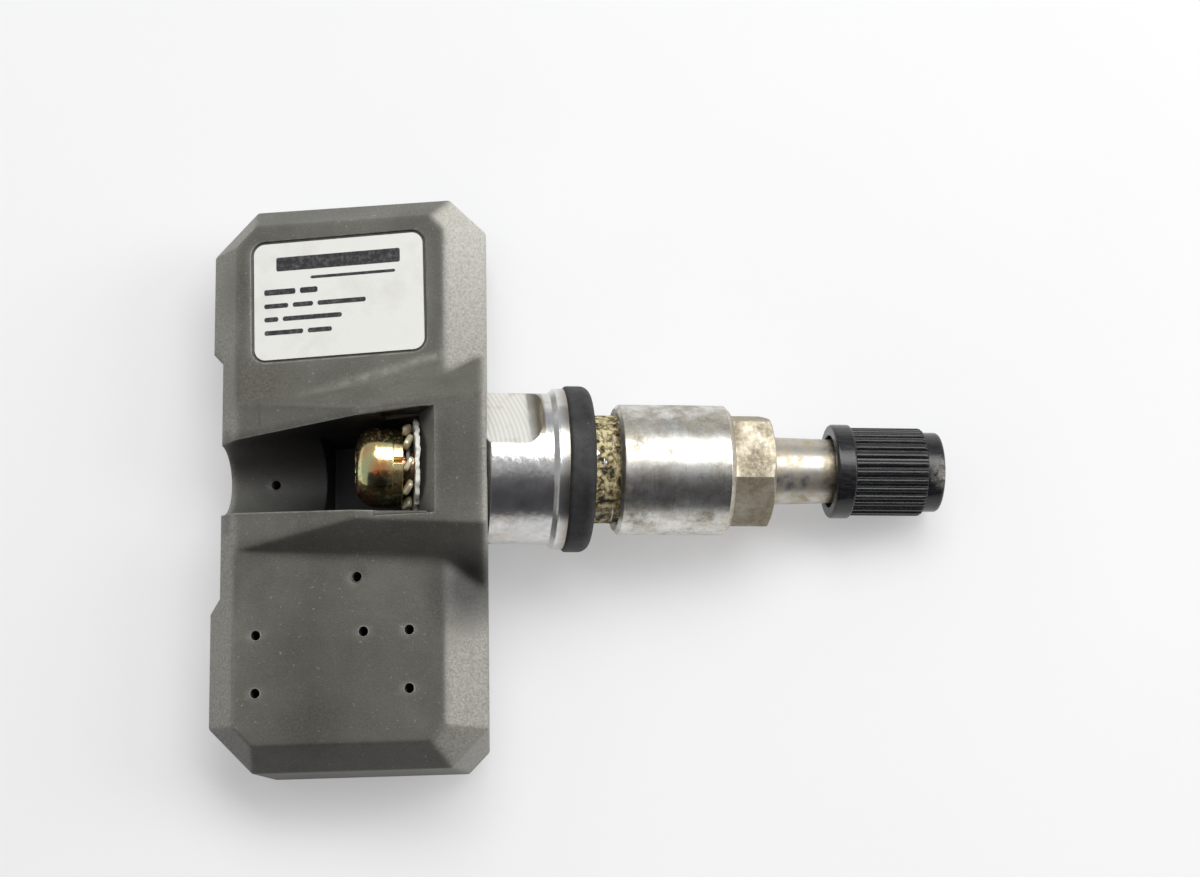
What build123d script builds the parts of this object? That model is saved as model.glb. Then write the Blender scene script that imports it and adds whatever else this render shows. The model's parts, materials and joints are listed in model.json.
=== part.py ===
from build123d import *
from math import atan2, cos, degrees, radians, sin, tan
import os

# Tyre pressure sensor: an octagonal moulded housing screwed to a clamp-in valve stem.
# Housing frame: base on z = 0, stem side towards +x, label lobe towards +y, millimetres.
# Stem frame: +x runs along the valve from the housing to the cap, 0 where the head seats.

# Housing shell
case_width = 29.7
case_half_length = 30.0
wall_height = 8.2
bevel_height = 3.25
wall_lean = 12.0
left_corner = 4.75
right_corner = 3.95
left_bevel = 3.5
right_bevel = 3.8
end_bevel = 2.5
left_top_corner = 2.1
right_top_corner = 1.6
crease_radius = 0.5

# Ramp that rises over the screw
ramp_height = 15.6
ramp_run = 14.0
ramp_slope = 52.0
ramp_left_half = 7.6
ramp_right_half = 10.0
ramp_offset = 0.6

# Notch along the edge away from the stem
notch_depth = 1.5
notch_half = 12.5

# Screwdriver channel and screw pocket
channel_mouth_radius = 3.5
channel_mouth_floor = 6.3
pocket_radius = 5.5
pocket_wall = 6.5
well_wall = 1.5
well_half = 4.3
well_floor = 2.2
lip_drop = 3.6
lip_run = 2.45

# Cavity, ledge and cover
case_roof = 1.6
left_wall = 3.2
right_wall = 1.8
end_wall = 2.6
cavity_corner = 2.5
core_half = 6.5
neck_end = -4.6
neck_height = 3.9
ledge_width = 0.8
cover_thickness = 1.4
cover_gap = 0.1
cover_proud = 0.5
post_height = 0.4
post_radius = 0.9

# Vents through the roof
vent_radius = 0.5
vent_left_inset = 2.75
vent_right_inset = 4.0
vent_near_share = 0.4767
vent_far_share = 0.7535
vent_middle_inset = 8.8
port_inset = 9.5
port_share = 0.214
channel_vent_inset = 6.25

# Label
label_length = 18.3
label_width = 12.6
label_thickness = 0.2
label_corner = 1.2
label_side_inset = 11.35
label_end_inset = 8.2
label_turn = 1.1
recess_depth = 0.25
recess_gap = 0.3

# Board, cell and tabs
board_thickness = 1.0
board_gap = 0.3
board_neck = 5.6
cell_radius = 8.0
cell_height = 3.2
cell_rim = 0.5
tab_thickness = 0.25
tab_width = 5.0
tab_clear = 0.4

# Parts on the board, each set by its share of the lobe's length and its distance from a side wall
chip_side = 6.8
chip_height = 2.2
lead_count = 5
lead_pitch = 1.27
lead_width = 0.45
lead_reach = 1.0
seal_radius = 1.8
seal_bore = 0.8
seal_gap = 0.1
radio_side = 5.0
radio_height = 0.9
radio_inset = 5.65
radio_share = 0.591
crystal_length = 6.0
crystal_width = 2.5
crystal_height = 1.6
crystal_inset = 5.7
crystal_share = 0.581
coil_length = 5.2
coil_radius = 1.3
core_flange = 1.6
core_flange_thickness = 0.7
core_stem_radius = 0.8
coil_gap = 0.05
coil_inset = 5.25
coil_share = 0.237
antenna_span = 15.0
antenna_height = 5.0
antenna_strip = 1.8
antenna_gauge = 0.6
antenna_share = 0.87
capacitor_length = 2.0
capacitor_width = 1.25
capacitor_height = 0.9
capacitor_pitch = 2.2
capacitor_count = 4
capacitor_clearance = 1.0
capacitor_share = 0.73

# Stem placing in the housing
stem_tilt = 17.1
stem_offset = 0.9
stem_height = 7.8
seat_depth = 0.75
seat_gap = 0.15

# Valve stem
head_radius = 7.85
head_length = 7.4
head_edge = 0.5
head_flange_radius = 8.35
head_flange_thickness = 1.1
flat_across = 12.9
flat_length = 6.0
flat_angle = 43.0
flat_cutter = 1.9
thread_radius = 5.6
shoulder_taper = 0.9
nose_radius = 3.75
nose_edge = 0.35
nose_length = 6.6
screw_bore_depth = 8.0
air_radius = 1.6
core_bore_radius = 2.3
core_thread_radius = 2.65
core_bore_length = 16.0
core_thread_length = 8.6

# Grommet and rim
grommet_radius = 8.65
grommet_thickness = 2.75
grommet_round = 1.1
rim_gap = 2.6

# Collar nut
collar_radius = 6.8
collar_length = 12.0
collar_edge = 0.5
hex_across = 11.0
hex_length = 4.35
hex_turn = 47.0
nut_mouth = 0.8
nut_clear = 0.3

# Cap
cap_length = 11.7
flange_length = 2.05
flange_radius = 4.95
rib_radius = 4.65
rib_root = 4.3
rib_count = 30
rib_width = 0.6
boss_radius = 4.2
boss_length = 1.85
cap_floor = 1.9
cap_edge = 0.3

# Seal in the cap
cap_seal_thickness = 0.8
cap_seal_bore = 1.5
cap_seal_gap = 0.1
cap_seal_clear = 0.2

# Fixing screw and its washers
screw_radius = 2.0
screw_reach = 5.6
screw_head_radius = 4.15
screw_head_height = 3.7
screw_dome = 2.2
screw_air_radius = 0.7
star_radius = 1.9
star_lobe = 0.55
star_depth = 1.7
hole_clear = 0.25
spring_washer_radius = 4.0
spring_washer_thickness = 1.0
spring_washer_slit = 0.6
toothed_washer_radius = 4.4
toothed_washer_root = 3.2
toothed_washer_thickness = 0.5
tooth_count = 10
tooth_width = 1.1
tooth_twist = 35.0
tooth_height = 1.1
backing_washer_radius = 4.7
backing_washer_thickness = 0.6
washer_clear = 0.15

# Valve core
plug_length = 3.6
plug_drop = 1.2
plug_slot = 1.2
barrel_radius = 2.1
barrel_length = 6.4
barrel_floor = 0.8
barrel_bore = 1.6
gasket_thickness = 1.0
gasket_drop = 1.4
pin_radius = 0.6
pin_drop = 0.3
pin_collar_radius = 1.3
pin_collar_thickness = 0.6
pin_clear = 0.2
pin_travel = 1.5
poppet_radius = 1.7
poppet_thickness = 1.4
poppet_gap = 0.1
spring_wire = 0.2
spring_turns = 5

# Fits shared by several pieces
running_fit = 0.05
seat_fit = 0.05

# Worked-out housing values
case_top = wall_height + bevel_height
half_width = case_width / 2
left_crease = -half_width + left_bevel
right_crease = half_width - right_bevel
lean_slope = tan(radians(wall_lean))
base_right = half_width - wall_height * lean_slope
cavity_left = -half_width + left_wall
cavity_right = base_right - right_wall
cavity_half = case_half_length - end_wall
cavity_roof = case_top - case_roof
board_floor = cover_thickness + post_height
board_top = board_floor + board_thickness
far_reach = 6 * case_half_length
lobe_edge = ramp_offset - core_half
lobe_length = cavity_half + lobe_edge
label_x = right_crease - label_side_inset
label_y = case_half_length - end_bevel - label_end_inset
cell_x = (cavity_left + cavity_right) / 2
cell_y = (ramp_offset + core_half + cavity_half) / 2
radio_x = cavity_left + radio_inset
cover_left = cavity_left - ledge_width + cover_gap


def leaning_wall(height):
    """x of the stem-side wall at a height."""
    return base_right + height * lean_slope


def along_lobe(share):
    """y at a share of the way from the channel's wall to the end of the lobe without the label."""
    return lobe_edge - share * lobe_length


# Port of the pressure chip, under its vent
port_x = cavity_right - port_inset
port_y = along_lobe(port_share)

# Worked-out stem values, along the stem from where its head seats
grommet_start = head_length + head_flange_thickness
grommet_end = grommet_start + grommet_thickness
nut_start = grommet_end + rim_gap
hex_start = nut_start + collar_length
nut_end = hex_start + hex_length
cap_start = nut_end + nose_length
cap_end = cap_start + cap_length
cap_inside = cap_end - cap_floor
thread_end = hex_start - rim_gap - shoulder_taper - nut_clear
stem_tip = cap_inside - cap_seal_thickness - 2 * cap_seal_gap
seal_start = stem_tip + cap_seal_gap
screw_seat = -pocket_wall
toothed_start = screw_seat - backing_washer_thickness
spring_start = toothed_start - tooth_height
screw_face = spring_start - spring_washer_thickness
plug_top = stem_tip - plug_drop
plug_bottom = plug_top - plug_length
barrel_bottom = plug_bottom - barrel_length
pin_top = stem_tip - pin_drop
collar_top = plug_bottom - pin_clear
pin_bottom = barrel_bottom - poppet_gap

# Where the stem's seat lies in the housing
seat_x = leaning_wall(stem_height) - seat_depth
stem_place = Pos(seat_x, stem_offset, stem_height) * Rot(0, stem_tilt, 0)
pocket_z = stem_height + pocket_wall * sin(radians(stem_tilt))
lip_foot = ramp_height - lip_drop
lip_start = seat_x - pocket_wall * cos(radians(stem_tilt)) + (lip_foot - pocket_z) * tan(radians(stem_tilt))
lip_end = lip_start + lip_run


def octagon(left, right, half, left_cut, right_cut):
    """Eight-sided outline, with its own corner cut at each side."""
    right_side = [(right, right_cut - half), (right, half - right_cut)]
    far_end = [(right - right_cut, half), (left + left_cut, half)]
    left_side = [(left, half - left_cut), (left, left_cut - half)]
    near_end = [(left + left_cut, -half), (right - right_cut, -half)]
    return make_face(Polyline(*right_side, *far_end, *left_side, *near_end, close=True))


def block(x_span, y_span, z_span):
    """Box given by its limits along each axis."""
    size = [span[1] - span[0] for span in (x_span, y_span, z_span)]
    corner = (x_span[0], y_span[0], z_span[0])
    return Pos(*corner) * Box(*size, align=(Align.MIN, Align.MIN, Align.MIN))


def rod(start, end, radius, bore=0.0):
    """Round bar or tube along x."""
    lay = Pos(start, 0, 0) * Rot(0, 90, 0)
    bottom = (Align.CENTER, Align.CENTER, Align.MIN)
    bar = lay * Cylinder(radius, end - start, align=bottom)
    if bore:
        bar -= lay * Cylinder(bore, end - start, align=bottom)
    return bar


def turned(points):
    """Solid of revolution about x from (x, radius) points."""
    return revolve(make_face(Polyline(*points, close=True)), Axis.X)


def upright(radius, low, high, x=0.0, y=0.0):
    """Round post along z."""
    bottom = (Align.CENTER, Align.CENTER, Align.MIN)
    return Pos(x, y, low) * Cylinder(radius, high - low, align=bottom)


def groove_face(x, radius, floor):
    """U-shaped cut section across the channel at x, open at the top."""
    middle = floor + radius
    mouth = ramp_height + radius
    across = Plane(origin=(x, ramp_offset, 0), x_dir=(0, 1, 0), z_dir=(1, 0, 0))
    bowl = ThreePointArc((-radius, middle), (0, floor), (radius, middle))
    sides = Polyline((radius, middle), (radius, mouth), (-radius, mouth), (-radius, middle))
    return across * make_face([bowl, *sides.edges()])


def side_prism(points):
    """Bar across the housing from an outline in x and z."""
    outline = Plane.XZ * make_face(Polyline(*points, close=True))
    return extrude(outline, case_width + case_half_length, both=True)


def end_prism(points):
    """Bar along x from an outline in y and z."""
    outline = Plane.YZ * make_face(Polyline(*points, close=True))
    return extrude(outline, case_width + case_half_length, both=True)


def outside(origin, along, normal):
    """Everything on the outer side of a plane."""
    side = Plane(origin=origin, x_dir=along, z_dir=normal)
    return side * Box(far_reach, far_reach, far_reach, align=(Align.CENTER, Align.CENTER, Align.MIN))


def corner_bevel(side, end):
    """Space outside the bevel at one of the four corners."""
    left = side < 0
    corner = left_corner if left else right_corner
    crease = left_crease if left else right_crease
    top_corner = left_top_corner if left else right_top_corner
    low = Vector(side * half_width, end * (case_half_length - corner), wall_height)
    high = Vector(crease, end * (case_half_length - end_bevel - top_corner), case_top)
    along = Vector(-side, end, 0)
    return outside(low, along, along.cross(high - low) * side * end)


def case_shell():
    """Octagonal body: leaning stem-side wall below, bevelled roof above."""
    plan = octagon(-half_width, half_width, case_half_length, left_corner, right_corner)
    left_side = [(-half_width, 0), (-half_width, wall_height), (left_crease, case_top)]
    right_side = [(right_crease, case_top), (half_width, wall_height), (base_right, 0)]
    top_half = case_half_length - end_bevel
    far_end = [(case_half_length, 0), (case_half_length, wall_height), (top_half, case_top)]
    near_end = [(-y, z) for y, z in reversed(far_end)]
    body = extrude(plan, case_top) & side_prism(left_side + right_side) & end_prism(far_end + near_end)
    for side in (-1, 1):
        for end in (-1, 1):
            body -= corner_bevel(side, end)
    return body


def ramp():
    """Wedge that climbs from the far bevel to the bridge over the screw."""
    left_side = [(-half_width, 0), (-half_width, wall_height), (left_crease, case_top)]
    bridge = [(left_crease + ramp_run, ramp_height), (leaning_wall(ramp_height), ramp_height)]
    wedge = side_prism([*left_side, *bridge, (base_right, 0)])
    spread = (ramp_right_half - ramp_left_half) / case_width
    slope = radians(ramp_slope)
    for side in (-1, 1):
        foot = Vector(0, ramp_offset + side * (ramp_left_half + ramp_right_half) / 2, case_top)
        outward = Vector(-spread, side, 0).normalized()
        facing = outward * sin(slope) + Vector(0, 0, cos(slope))
        wedge -= outside(foot, Vector(1, side * spread, 0), facing)
    return wedge


def softened(shell):
    """The same body with every edge above the base rounded."""
    free = shell.edges().filter_by(lambda edge: edge.bounding_box().max.Z > crease_radius)
    return fillet(free, crease_radius)


def edge_notch():
    """Shallow step along the far edge, with slanted ends."""
    outer = notch_half + notch_depth
    left = -half_width
    floor = left + notch_depth
    clear = left - notch_depth
    corners = [(left, outer), (floor, notch_half), (floor, -notch_half), (left, -outer)]
    outline = make_face(Polyline(*corners, (clear, -outer), (clear, outer), close=True))
    return Pos(0, ramp_offset, 0) * extrude(outline, ramp_height)


def stem_side(start):
    """Everything beyond a plane across the stem."""
    cut = block((start, start + far_reach), (-far_reach, far_reach), (-far_reach, far_reach))
    return stem_place * cut


def channel():
    """Half-round channel that widens from the far edge to the screw's seat, square to the stem."""
    mouth = groove_face(-half_width - notch_depth, channel_mouth_radius, channel_mouth_floor)
    end = groove_face(lip_end, pocket_radius, pocket_z - pocket_radius)
    return loft([mouth, end], ruled=True) - stem_side(screw_seat)


def screw_well():
    """Deep well under the screw head, for its washers to drop in."""
    sides = (ramp_offset - well_half, ramp_offset + well_half)
    well = block((neck_end + well_wall, half_width), sides, (well_floor, pocket_z))
    return well - stem_side(screw_seat)


def pocket_lip():
    """Leaning cut from the top of the seat to the bridge's edge."""
    clear = ramp_height + lip_drop
    back = lip_start - lip_drop
    corners = [(lip_start, lip_foot), (lip_end, ramp_height), (lip_end, clear), (back, clear), (back, lip_foot)]
    outline = Plane.XZ * make_face(Polyline(*corners, close=True))
    return Pos(0, ramp_offset, 0) * extrude(outline, pocket_radius, both=True)


def cavity_outline(margin):
    """Outline of the inside of the housing, grown by a margin."""
    inside = octagon(
        cavity_left - margin,
        cavity_right + margin,
        cavity_half + margin,
        cavity_corner,
        cavity_corner,
    )
    core_width = 2 * (core_half - margin)
    core = Rectangle(case_width, core_width, align=(Align.MIN, Align.CENTER))
    return inside - Pos(neck_end + margin, ramp_offset) * core


def lobe_mask(low, high):
    """The space of the two lobes, either side of the channel."""
    strip = (ramp_offset - core_half, ramp_offset + core_half)
    whole = block((-case_width, case_width), (-far_reach, far_reach), (low, high))
    return whole - block((-case_width, case_width), strip, (low, high))


def cavity():
    """Hollow for the electronics: two lobes, the low neck between them and the cover's ledge."""
    plan = cavity_outline(0)
    lobes = extrude(plan, cavity_roof) & lobe_mask(0, cavity_roof)
    neck = extrude(plan, neck_height)
    ledge = extrude(cavity_outline(ledge_width), cover_thickness)
    return lobes + neck + ledge


def vents():
    """Small round holes through the roof and the channel floor."""
    rows = [along_lobe(vent_near_share), along_lobe(vent_far_share)]
    columns = [cavity_left + vent_left_inset, cavity_right - vent_right_inset]
    spots = [(x, y) for x in columns for y in rows]
    spots += [(port_x, port_y), (cavity_right - vent_middle_inset, rows[0])]
    spots += [(channel_vent_inset - half_width, ramp_offset)]
    return [upright(vent_radius, cover_thickness, ramp_height, x, y) for x, y in spots]


def label_outline(grow):
    """Round-cornered label outline, grown by a margin, turned as it was stuck on."""
    sheet = RectangleRounded(label_length + 2 * grow, label_width + 2 * grow, label_corner + grow)
    return Pos(label_x, label_y, case_top - recess_depth) * Rot(0, 0, label_turn) * sheet


def housing_case():
    """Moulded housing with its channel, pocket, vents, label recess and stem seat."""
    shell = softened(case_shell() + ramp())
    shell -= edge_notch()
    shell -= channel()
    shell -= screw_well()
    shell -= pocket_lip()
    shell -= cavity()
    shell -= vents()
    shell -= extrude(label_outline(recess_gap), bevel_height)
    seat = rod(0, far_reach, head_radius + seat_gap)
    hole = rod(screw_seat - pocket_wall, pocket_wall, screw_radius + hole_clear)
    return shell - stem_place * seat - stem_place * hole


def label():
    """Stuck-on paper label."""
    return extrude(label_outline(0), label_thickness)


def back_cover():
    """Plate on the cavity's ledge, proud of the walls, with posts that carry the board."""
    plan = Pos(0, 0, -cover_proud) * cavity_outline(ledge_width - cover_gap)
    plate = extrude(plan, cover_thickness + cover_proud)
    columns = [cavity_left + cavity_corner, cavity_right - cavity_corner]
    reach = cavity_half - cavity_corner
    for x in columns:
        for y in (-reach, reach):
            plate += upright(post_radius, cover_thickness, board_floor, x, y)
    return plate


def circuit_board():
    """C-shaped board that runs under the channel along the far edge."""
    plan = cavity_outline(-board_gap)
    lobes = extrude(plan, board_thickness)
    slot_start = cavity_left + board_gap + board_neck
    half = core_half + board_gap
    slot = block((slot_start, case_width), (ramp_offset - half, ramp_offset + half), (0, board_thickness))
    return Pos(0, 0, board_floor) * (lobes - slot)


def coin_cell():
    """Lithium coin cell: can with a smaller negative lid underneath."""
    low = board_top + tab_thickness
    can = upright(cell_radius, low + cell_rim, low + cell_height, cell_x, cell_y)
    lid = upright(cell_radius - 2 * cell_rim, low, low + cell_rim, cell_x, cell_y)
    can = fillet(can.edges().group_by(Axis.Z)[-1], cell_rim)
    return can + lid


def negative_tab():
    """Welded strip between the cell and the board."""
    span = (cavity_left + board_gap + tab_clear, cell_x + cell_radius / 2)
    side = (cell_y - tab_width / 2, cell_y + tab_width / 2)
    return block(span, side, (board_top, board_top + tab_thickness))


def positive_tab():
    """Strip welded on the can that steps down to the board beside it."""
    cell_top = board_top + tab_thickness + cell_height
    side = (cell_y - tab_width / 2, cell_y + tab_width / 2)
    leg = cell_x + cell_radius + tab_clear
    foot = cavity_right - board_gap - tab_clear
    plate = block((cell_x, leg + tab_thickness), side, (cell_top, cell_top + tab_thickness))
    drop = block((leg, leg + tab_thickness), side, (board_top, cell_top))
    pad = block((leg, foot), side, (board_top, board_top + tab_thickness))
    return plate + drop + pad


def sensor_chip():
    """Pressure chip with its leads bent down to the board."""
    half = chip_side / 2
    standoff = lead_width / 2
    body = block((-half, half), (-half, half), (standoff, chip_height))
    body = chamfer(body.edges().group_by(Axis.Z)[-1], standoff)
    first = -(lead_count - 1) / 2 * lead_pitch
    for number in range(lead_count):
        row = first + number * lead_pitch
        span = (row - lead_width / 2, row + lead_width / 2)
        body += block((-half - lead_reach, half + lead_reach), span, (0, standoff))
    vent = upright(seal_bore, chip_height - standoff, chip_height)
    return Pos(port_x, port_y, board_top) * (body - vent)


def port_seal():
    """Soft tube from the chip's port to the vent in the roof."""
    low = board_top + chip_height
    high = cavity_roof - seal_gap
    tube = upright(seal_radius, low, high, port_x, port_y)
    return tube - upright(seal_bore, low, high, port_x, port_y)


def radio_chip():
    """Flat transmitter chip."""
    chip = block((-radio_side / 2, radio_side / 2), (-radio_side / 2, radio_side / 2), (0, radio_height))
    chip = chamfer(chip.edges().filter_by(Axis.Z).sort_by(Axis.X)[0], radio_height / 2)
    return Pos(radio_x, along_lobe(radio_share), board_top) * chip


def crystal():
    """Metal crystal can on its base flange."""
    flange_height = crystal_height / 5
    flange = extrude(RectangleRounded(crystal_length, crystal_width, crystal_width / 3), flange_height)
    can_length = crystal_length - 2 * flange_height
    can_width = crystal_width - 2 * flange_height
    can = extrude(RectangleRounded(can_length, can_width, can_width / 3), crystal_height)
    return Pos(cavity_right - crystal_inset, along_lobe(crystal_share), board_top) * (flange + can)


def coil_place():
    """Where the wake-up coil lies, along y on the board."""
    return Pos(cavity_left + coil_inset, along_lobe(coil_share), board_top + core_flange) * Rot(0, 0, 90)


def wake_core():
    """Ferrite bobbin: a bar between two square-sided flanges."""
    half = coil_length / 2
    bar = rod(-half, half, core_stem_radius)
    for start in (-half - core_flange_thickness, half):
        span = (start, start + core_flange_thickness)
        bar += block(span, (-core_flange, core_flange), (-core_flange, core_flange))
    return coil_place() * bar


def wake_coil():
    """Copper winding on the bobbin."""
    half = coil_length / 2 - coil_gap
    return coil_place() * rod(-half, half, coil_radius, core_stem_radius + coil_gap)


def antenna():
    """Stamped strip that stands on the board as a wide staple."""
    half = antenna_span / 2
    across = (-antenna_strip / 2, antenna_strip / 2)
    outer = block((-half, half), across, (board_top, board_top + antenna_height))
    outer = fillet(outer.edges().filter_by(Axis.Y).group_by(Axis.Z)[-1], 2 * antenna_gauge)
    inner_top = board_top + antenna_height - antenna_gauge
    inner = block((antenna_gauge - half, half - antenna_gauge), across, (board_top, inner_top))
    inner = fillet(inner.edges().filter_by(Axis.Y).group_by(Axis.Z)[-1], antenna_gauge)
    return Pos(cell_x, along_lobe(antenna_share), 0) * (outer - inner)


def capacitors():
    """Row of small chip capacitors."""
    first = radio_x + (radio_side + capacitor_width) / 2 + capacitor_clearance
    body = block(
        (-capacitor_width / 2, capacitor_width / 2),
        (-capacitor_length / 2, capacitor_length / 2),
        (0, capacitor_height),
    )
    y = along_lobe(capacitor_share)
    row = [Pos(first + n * capacitor_pitch, y, board_top) * body for n in range(capacitor_count)]
    return Compound(children=row)


def wrench_flat():
    """Milled flat on the head's rim, with the cutter's round run-out."""
    depth = flat_across / 2
    straight = flat_length - flat_cutter
    cut = block((-head_length, straight), (-head_radius, head_radius), (depth, far_reach))
    bowl = Pos(straight, 0, depth + flat_cutter) * Rot(90, 0, 0) * Cylinder(flat_cutter, 2 * head_radius)
    return cut + bowl


def valve_stem():
    """Turned stem: head, grommet neck, thread, nose, and the stepped bore through it."""
    stem = turned([
        (0, 0),
        (0, head_radius - head_edge),
        (head_edge, head_radius),
        (head_length - head_edge, head_radius),
        (head_length, head_flange_radius),
        (grommet_start, head_flange_radius),
        (grommet_start, thread_radius),
        (thread_end, thread_radius),
        (thread_end + shoulder_taper, nose_radius),
        (stem_tip - nose_edge, nose_radius),
        (stem_tip, nose_radius - nose_edge),
        (stem_tip, 0),
    ])
    for side in (0, 180):
        stem -= Rot(-flat_angle + side, 0, 0) * wrench_flat()
    chamber = stem_tip - core_bore_length
    stem -= rod(-head_length, screw_bore_depth, screw_radius + running_fit)
    stem -= rod(0, chamber, air_radius)
    stem -= rod(chamber, stem_tip, core_bore_radius)
    stem -= rod(stem_tip - core_thread_length, stem_tip + head_length, core_thread_radius)
    return stem


def grommet():
    """Rubber ring on the neck, rounded where it meets the rim."""
    ring = rod(grommet_start, grommet_end, grommet_radius, thread_radius + seat_fit)
    outer = ring.edges().filter_by(GeomType.CIRCLE).sort_by(SortBy.RADIUS)[-2:]
    rounded = fillet(outer.sort_by(Axis.X)[-1], grommet_round)
    head_side = rounded.edges().filter_by(GeomType.CIRCLE).sort_by(Axis.X)[0:2]
    return fillet(head_side.sort_by(SortBy.RADIUS)[-1], grommet_round / 3)


def collar_nut():
    """Long nut: round collar with a hexagon at its outer end."""
    collar = turned([
        (nut_start, 0),
        (nut_start, collar_radius - collar_edge),
        (nut_start + collar_edge, collar_radius),
        (hex_start - collar_edge, collar_radius),
        (hex_start, collar_radius - collar_edge),
        (hex_start, 0),
    ])
    lay = Plane(origin=(hex_start, 0, 0), x_dir=(0, 1, 0), z_dir=(1, 0, 0))
    corner_radius = hex_across / 2 / cos(radians(30))
    prism = extrude(lay * Rot(0, 0, hex_turn) * RegularPolygon(corner_radius, 6), hex_length)
    reach = corner_radius - hex_across / 2
    rounding = turned([
        (hex_start, 0),
        (hex_start, corner_radius),
        (nut_end - reach / 2, corner_radius),
        (nut_end, corner_radius - reach),
        (nut_end, 0),
    ])
    nut = collar + (prism & rounding)
    nut -= rod(nut_start, hex_start, thread_radius + running_fit)
    nut -= rod(hex_start, nut_end, nose_radius + nut_clear)
    narrow = thread_radius + running_fit
    mouth_end = nut_start + nut_mouth
    mouth = [(nut_start, 0), (nut_start, narrow + nut_mouth), (mouth_end, narrow), (mouth_end, 0)]
    return nut - turned(mouth)


def valve_cap():
    """Moulded cap: flange, ribbed grip, plain end boss and a blind bore."""
    rib_start = cap_start + flange_length
    rib_end = cap_end - boss_length
    cap = turned([
        (cap_start, 0),
        (cap_start, flange_radius - cap_edge),
        (cap_start + cap_edge, flange_radius),
        (rib_start, flange_radius),
        (rib_start, rib_root),
        (rib_end, rib_root),
        (rib_end, boss_radius),
        (cap_end - cap_edge, boss_radius),
        (cap_end, boss_radius - cap_edge),
        (cap_end, 0),
    ])
    half = rib_width / 2
    rib = block((rib_start, rib_end), (-half, half), (-rib_radius, -nose_radius - cap_edge))
    cap += [Rot(number * 360 / rib_count, 0, 0) * rib for number in range(rib_count)]
    return cap - rod(cap_start, cap_inside, nose_radius + running_fit)


def cap_seal():
    """Rubber disc between the cap's floor and the stem's mouth."""
    return rod(seal_start, seal_start + cap_seal_thickness, nose_radius - cap_seal_clear, cap_seal_bore)


def fixing_screw():
    """Domed screw with a star recess and an air passage down its middle."""
    head_end = screw_face - screw_head_height
    shank = rod(screw_face, screw_reach, screw_radius)
    head = rod(head_end, screw_face, screw_head_radius)
    far_edge = head.edges().filter_by(GeomType.CIRCLE).sort_by(Axis.X)[0]
    head = fillet(far_edge, screw_dome)
    star = rod(head_end, head_end + star_depth, star_radius - star_lobe)
    for number in range(6):
        lobe = rod(head_end, head_end + star_depth, star_lobe)
        star += Rot(number * 60, 0, 0) * Pos(0, 0, star_radius - star_lobe) * lobe
    return shank + head - star - rod(head_end, screw_reach, screw_air_radius)


def spring_washer():
    """Split washer under the screw head."""
    ring = rod(screw_face, spring_start, spring_washer_radius, screw_radius + washer_clear)
    half_slit = spring_washer_slit / 2
    slit = block((screw_face, spring_start), (-half_slit, half_slit), (0, spring_washer_radius))
    return ring - slit


def toothed_washer():
    """Washer with a ring of twisted outer teeth."""
    middle = (spring_start + toothed_start) / 2
    half = toothed_washer_thickness / 2
    disc = rod(middle - half, middle + half, toothed_washer_root, screw_radius + washer_clear)
    inner = toothed_washer_root - half
    for number in range(tooth_count):
        tooth = block((-half, half), (-tooth_width / 2, tooth_width / 2), (inner, toothed_washer_radius))
        twisted = Pos(middle, 0, 0) * Rot(0, 0, tooth_twist) * tooth
        disc += Rot(number * 360 / tooth_count, 0, 0) * twisted
    return disc


def backing_washer():
    """Thin white washer on the pocket's seat."""
    return rod(toothed_start, screw_seat, backing_washer_radius, screw_radius + washer_clear)


def core_plug():
    """Threaded plug of the valve core, with a slot across its top."""
    plug = rod(plug_bottom, plug_top, core_thread_radius - running_fit, pin_radius + pin_clear)
    depth = (plug_top - plug_length / 3, plug_top)
    across = (-core_thread_radius, core_thread_radius)
    return plug - block(depth, across, (-plug_slot / 2, plug_slot / 2))


def core_barrel():
    """Thin barrel below the plug, with a floor that guides the pin."""
    barrel = rod(barrel_bottom, plug_bottom, barrel_radius, barrel_bore)
    return barrel + rod(barrel_bottom, barrel_bottom + barrel_floor, barrel_radius, pin_radius + pin_clear)


def core_gasket():
    """Soft ring that seals the barrel in the stem's bore."""
    top = plug_bottom - gasket_drop
    return rod(top - gasket_thickness, top, core_bore_radius - seat_fit, barrel_radius + seat_fit)


def core_pin():
    """Pin with the collar that the spring lifts."""
    pin = rod(pin_bottom - poppet_thickness, pin_top, pin_radius)
    return pin + rod(collar_top - pin_collar_thickness, collar_top, pin_collar_radius)


def core_poppet():
    """Rubber valve disc on the pin's inner end."""
    return rod(pin_bottom - poppet_thickness, pin_bottom, poppet_radius, pin_radius + seat_fit)


def core_spring():
    """Coil spring between the barrel's floor and the pin's collar."""
    low = barrel_bottom + barrel_floor + seat_fit
    high = collar_top - pin_collar_thickness - seat_fit
    middle = (pin_radius + barrel_bore) / 2
    height = high - low - 2 * spring_wire
    path = Helix(height / spring_turns, height, middle)
    section = Plane(origin=path @ 0, z_dir=path % 0) * Circle(spring_wire)
    return Pos(low + spring_wire, 0, 0) * Rot(0, 90, 0) * sweep(section, path)


housing_pieces = [
    housing_case,
    label,
    back_cover,
    circuit_board,
    coin_cell,
    negative_tab,
    positive_tab,
    sensor_chip,
    port_seal,
    radio_chip,
    crystal,
    wake_core,
    wake_coil,
    antenna,
    capacitors,
]
stem_pieces = [
    valve_stem,
    grommet,
    collar_nut,
    valve_cap,
    cap_seal,
    fixing_screw,
    spring_washer,
    toothed_washer,
    backing_washer,
    core_plug,
    core_barrel,
    core_gasket,
    core_pin,
    core_poppet,
    core_spring,
]


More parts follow.
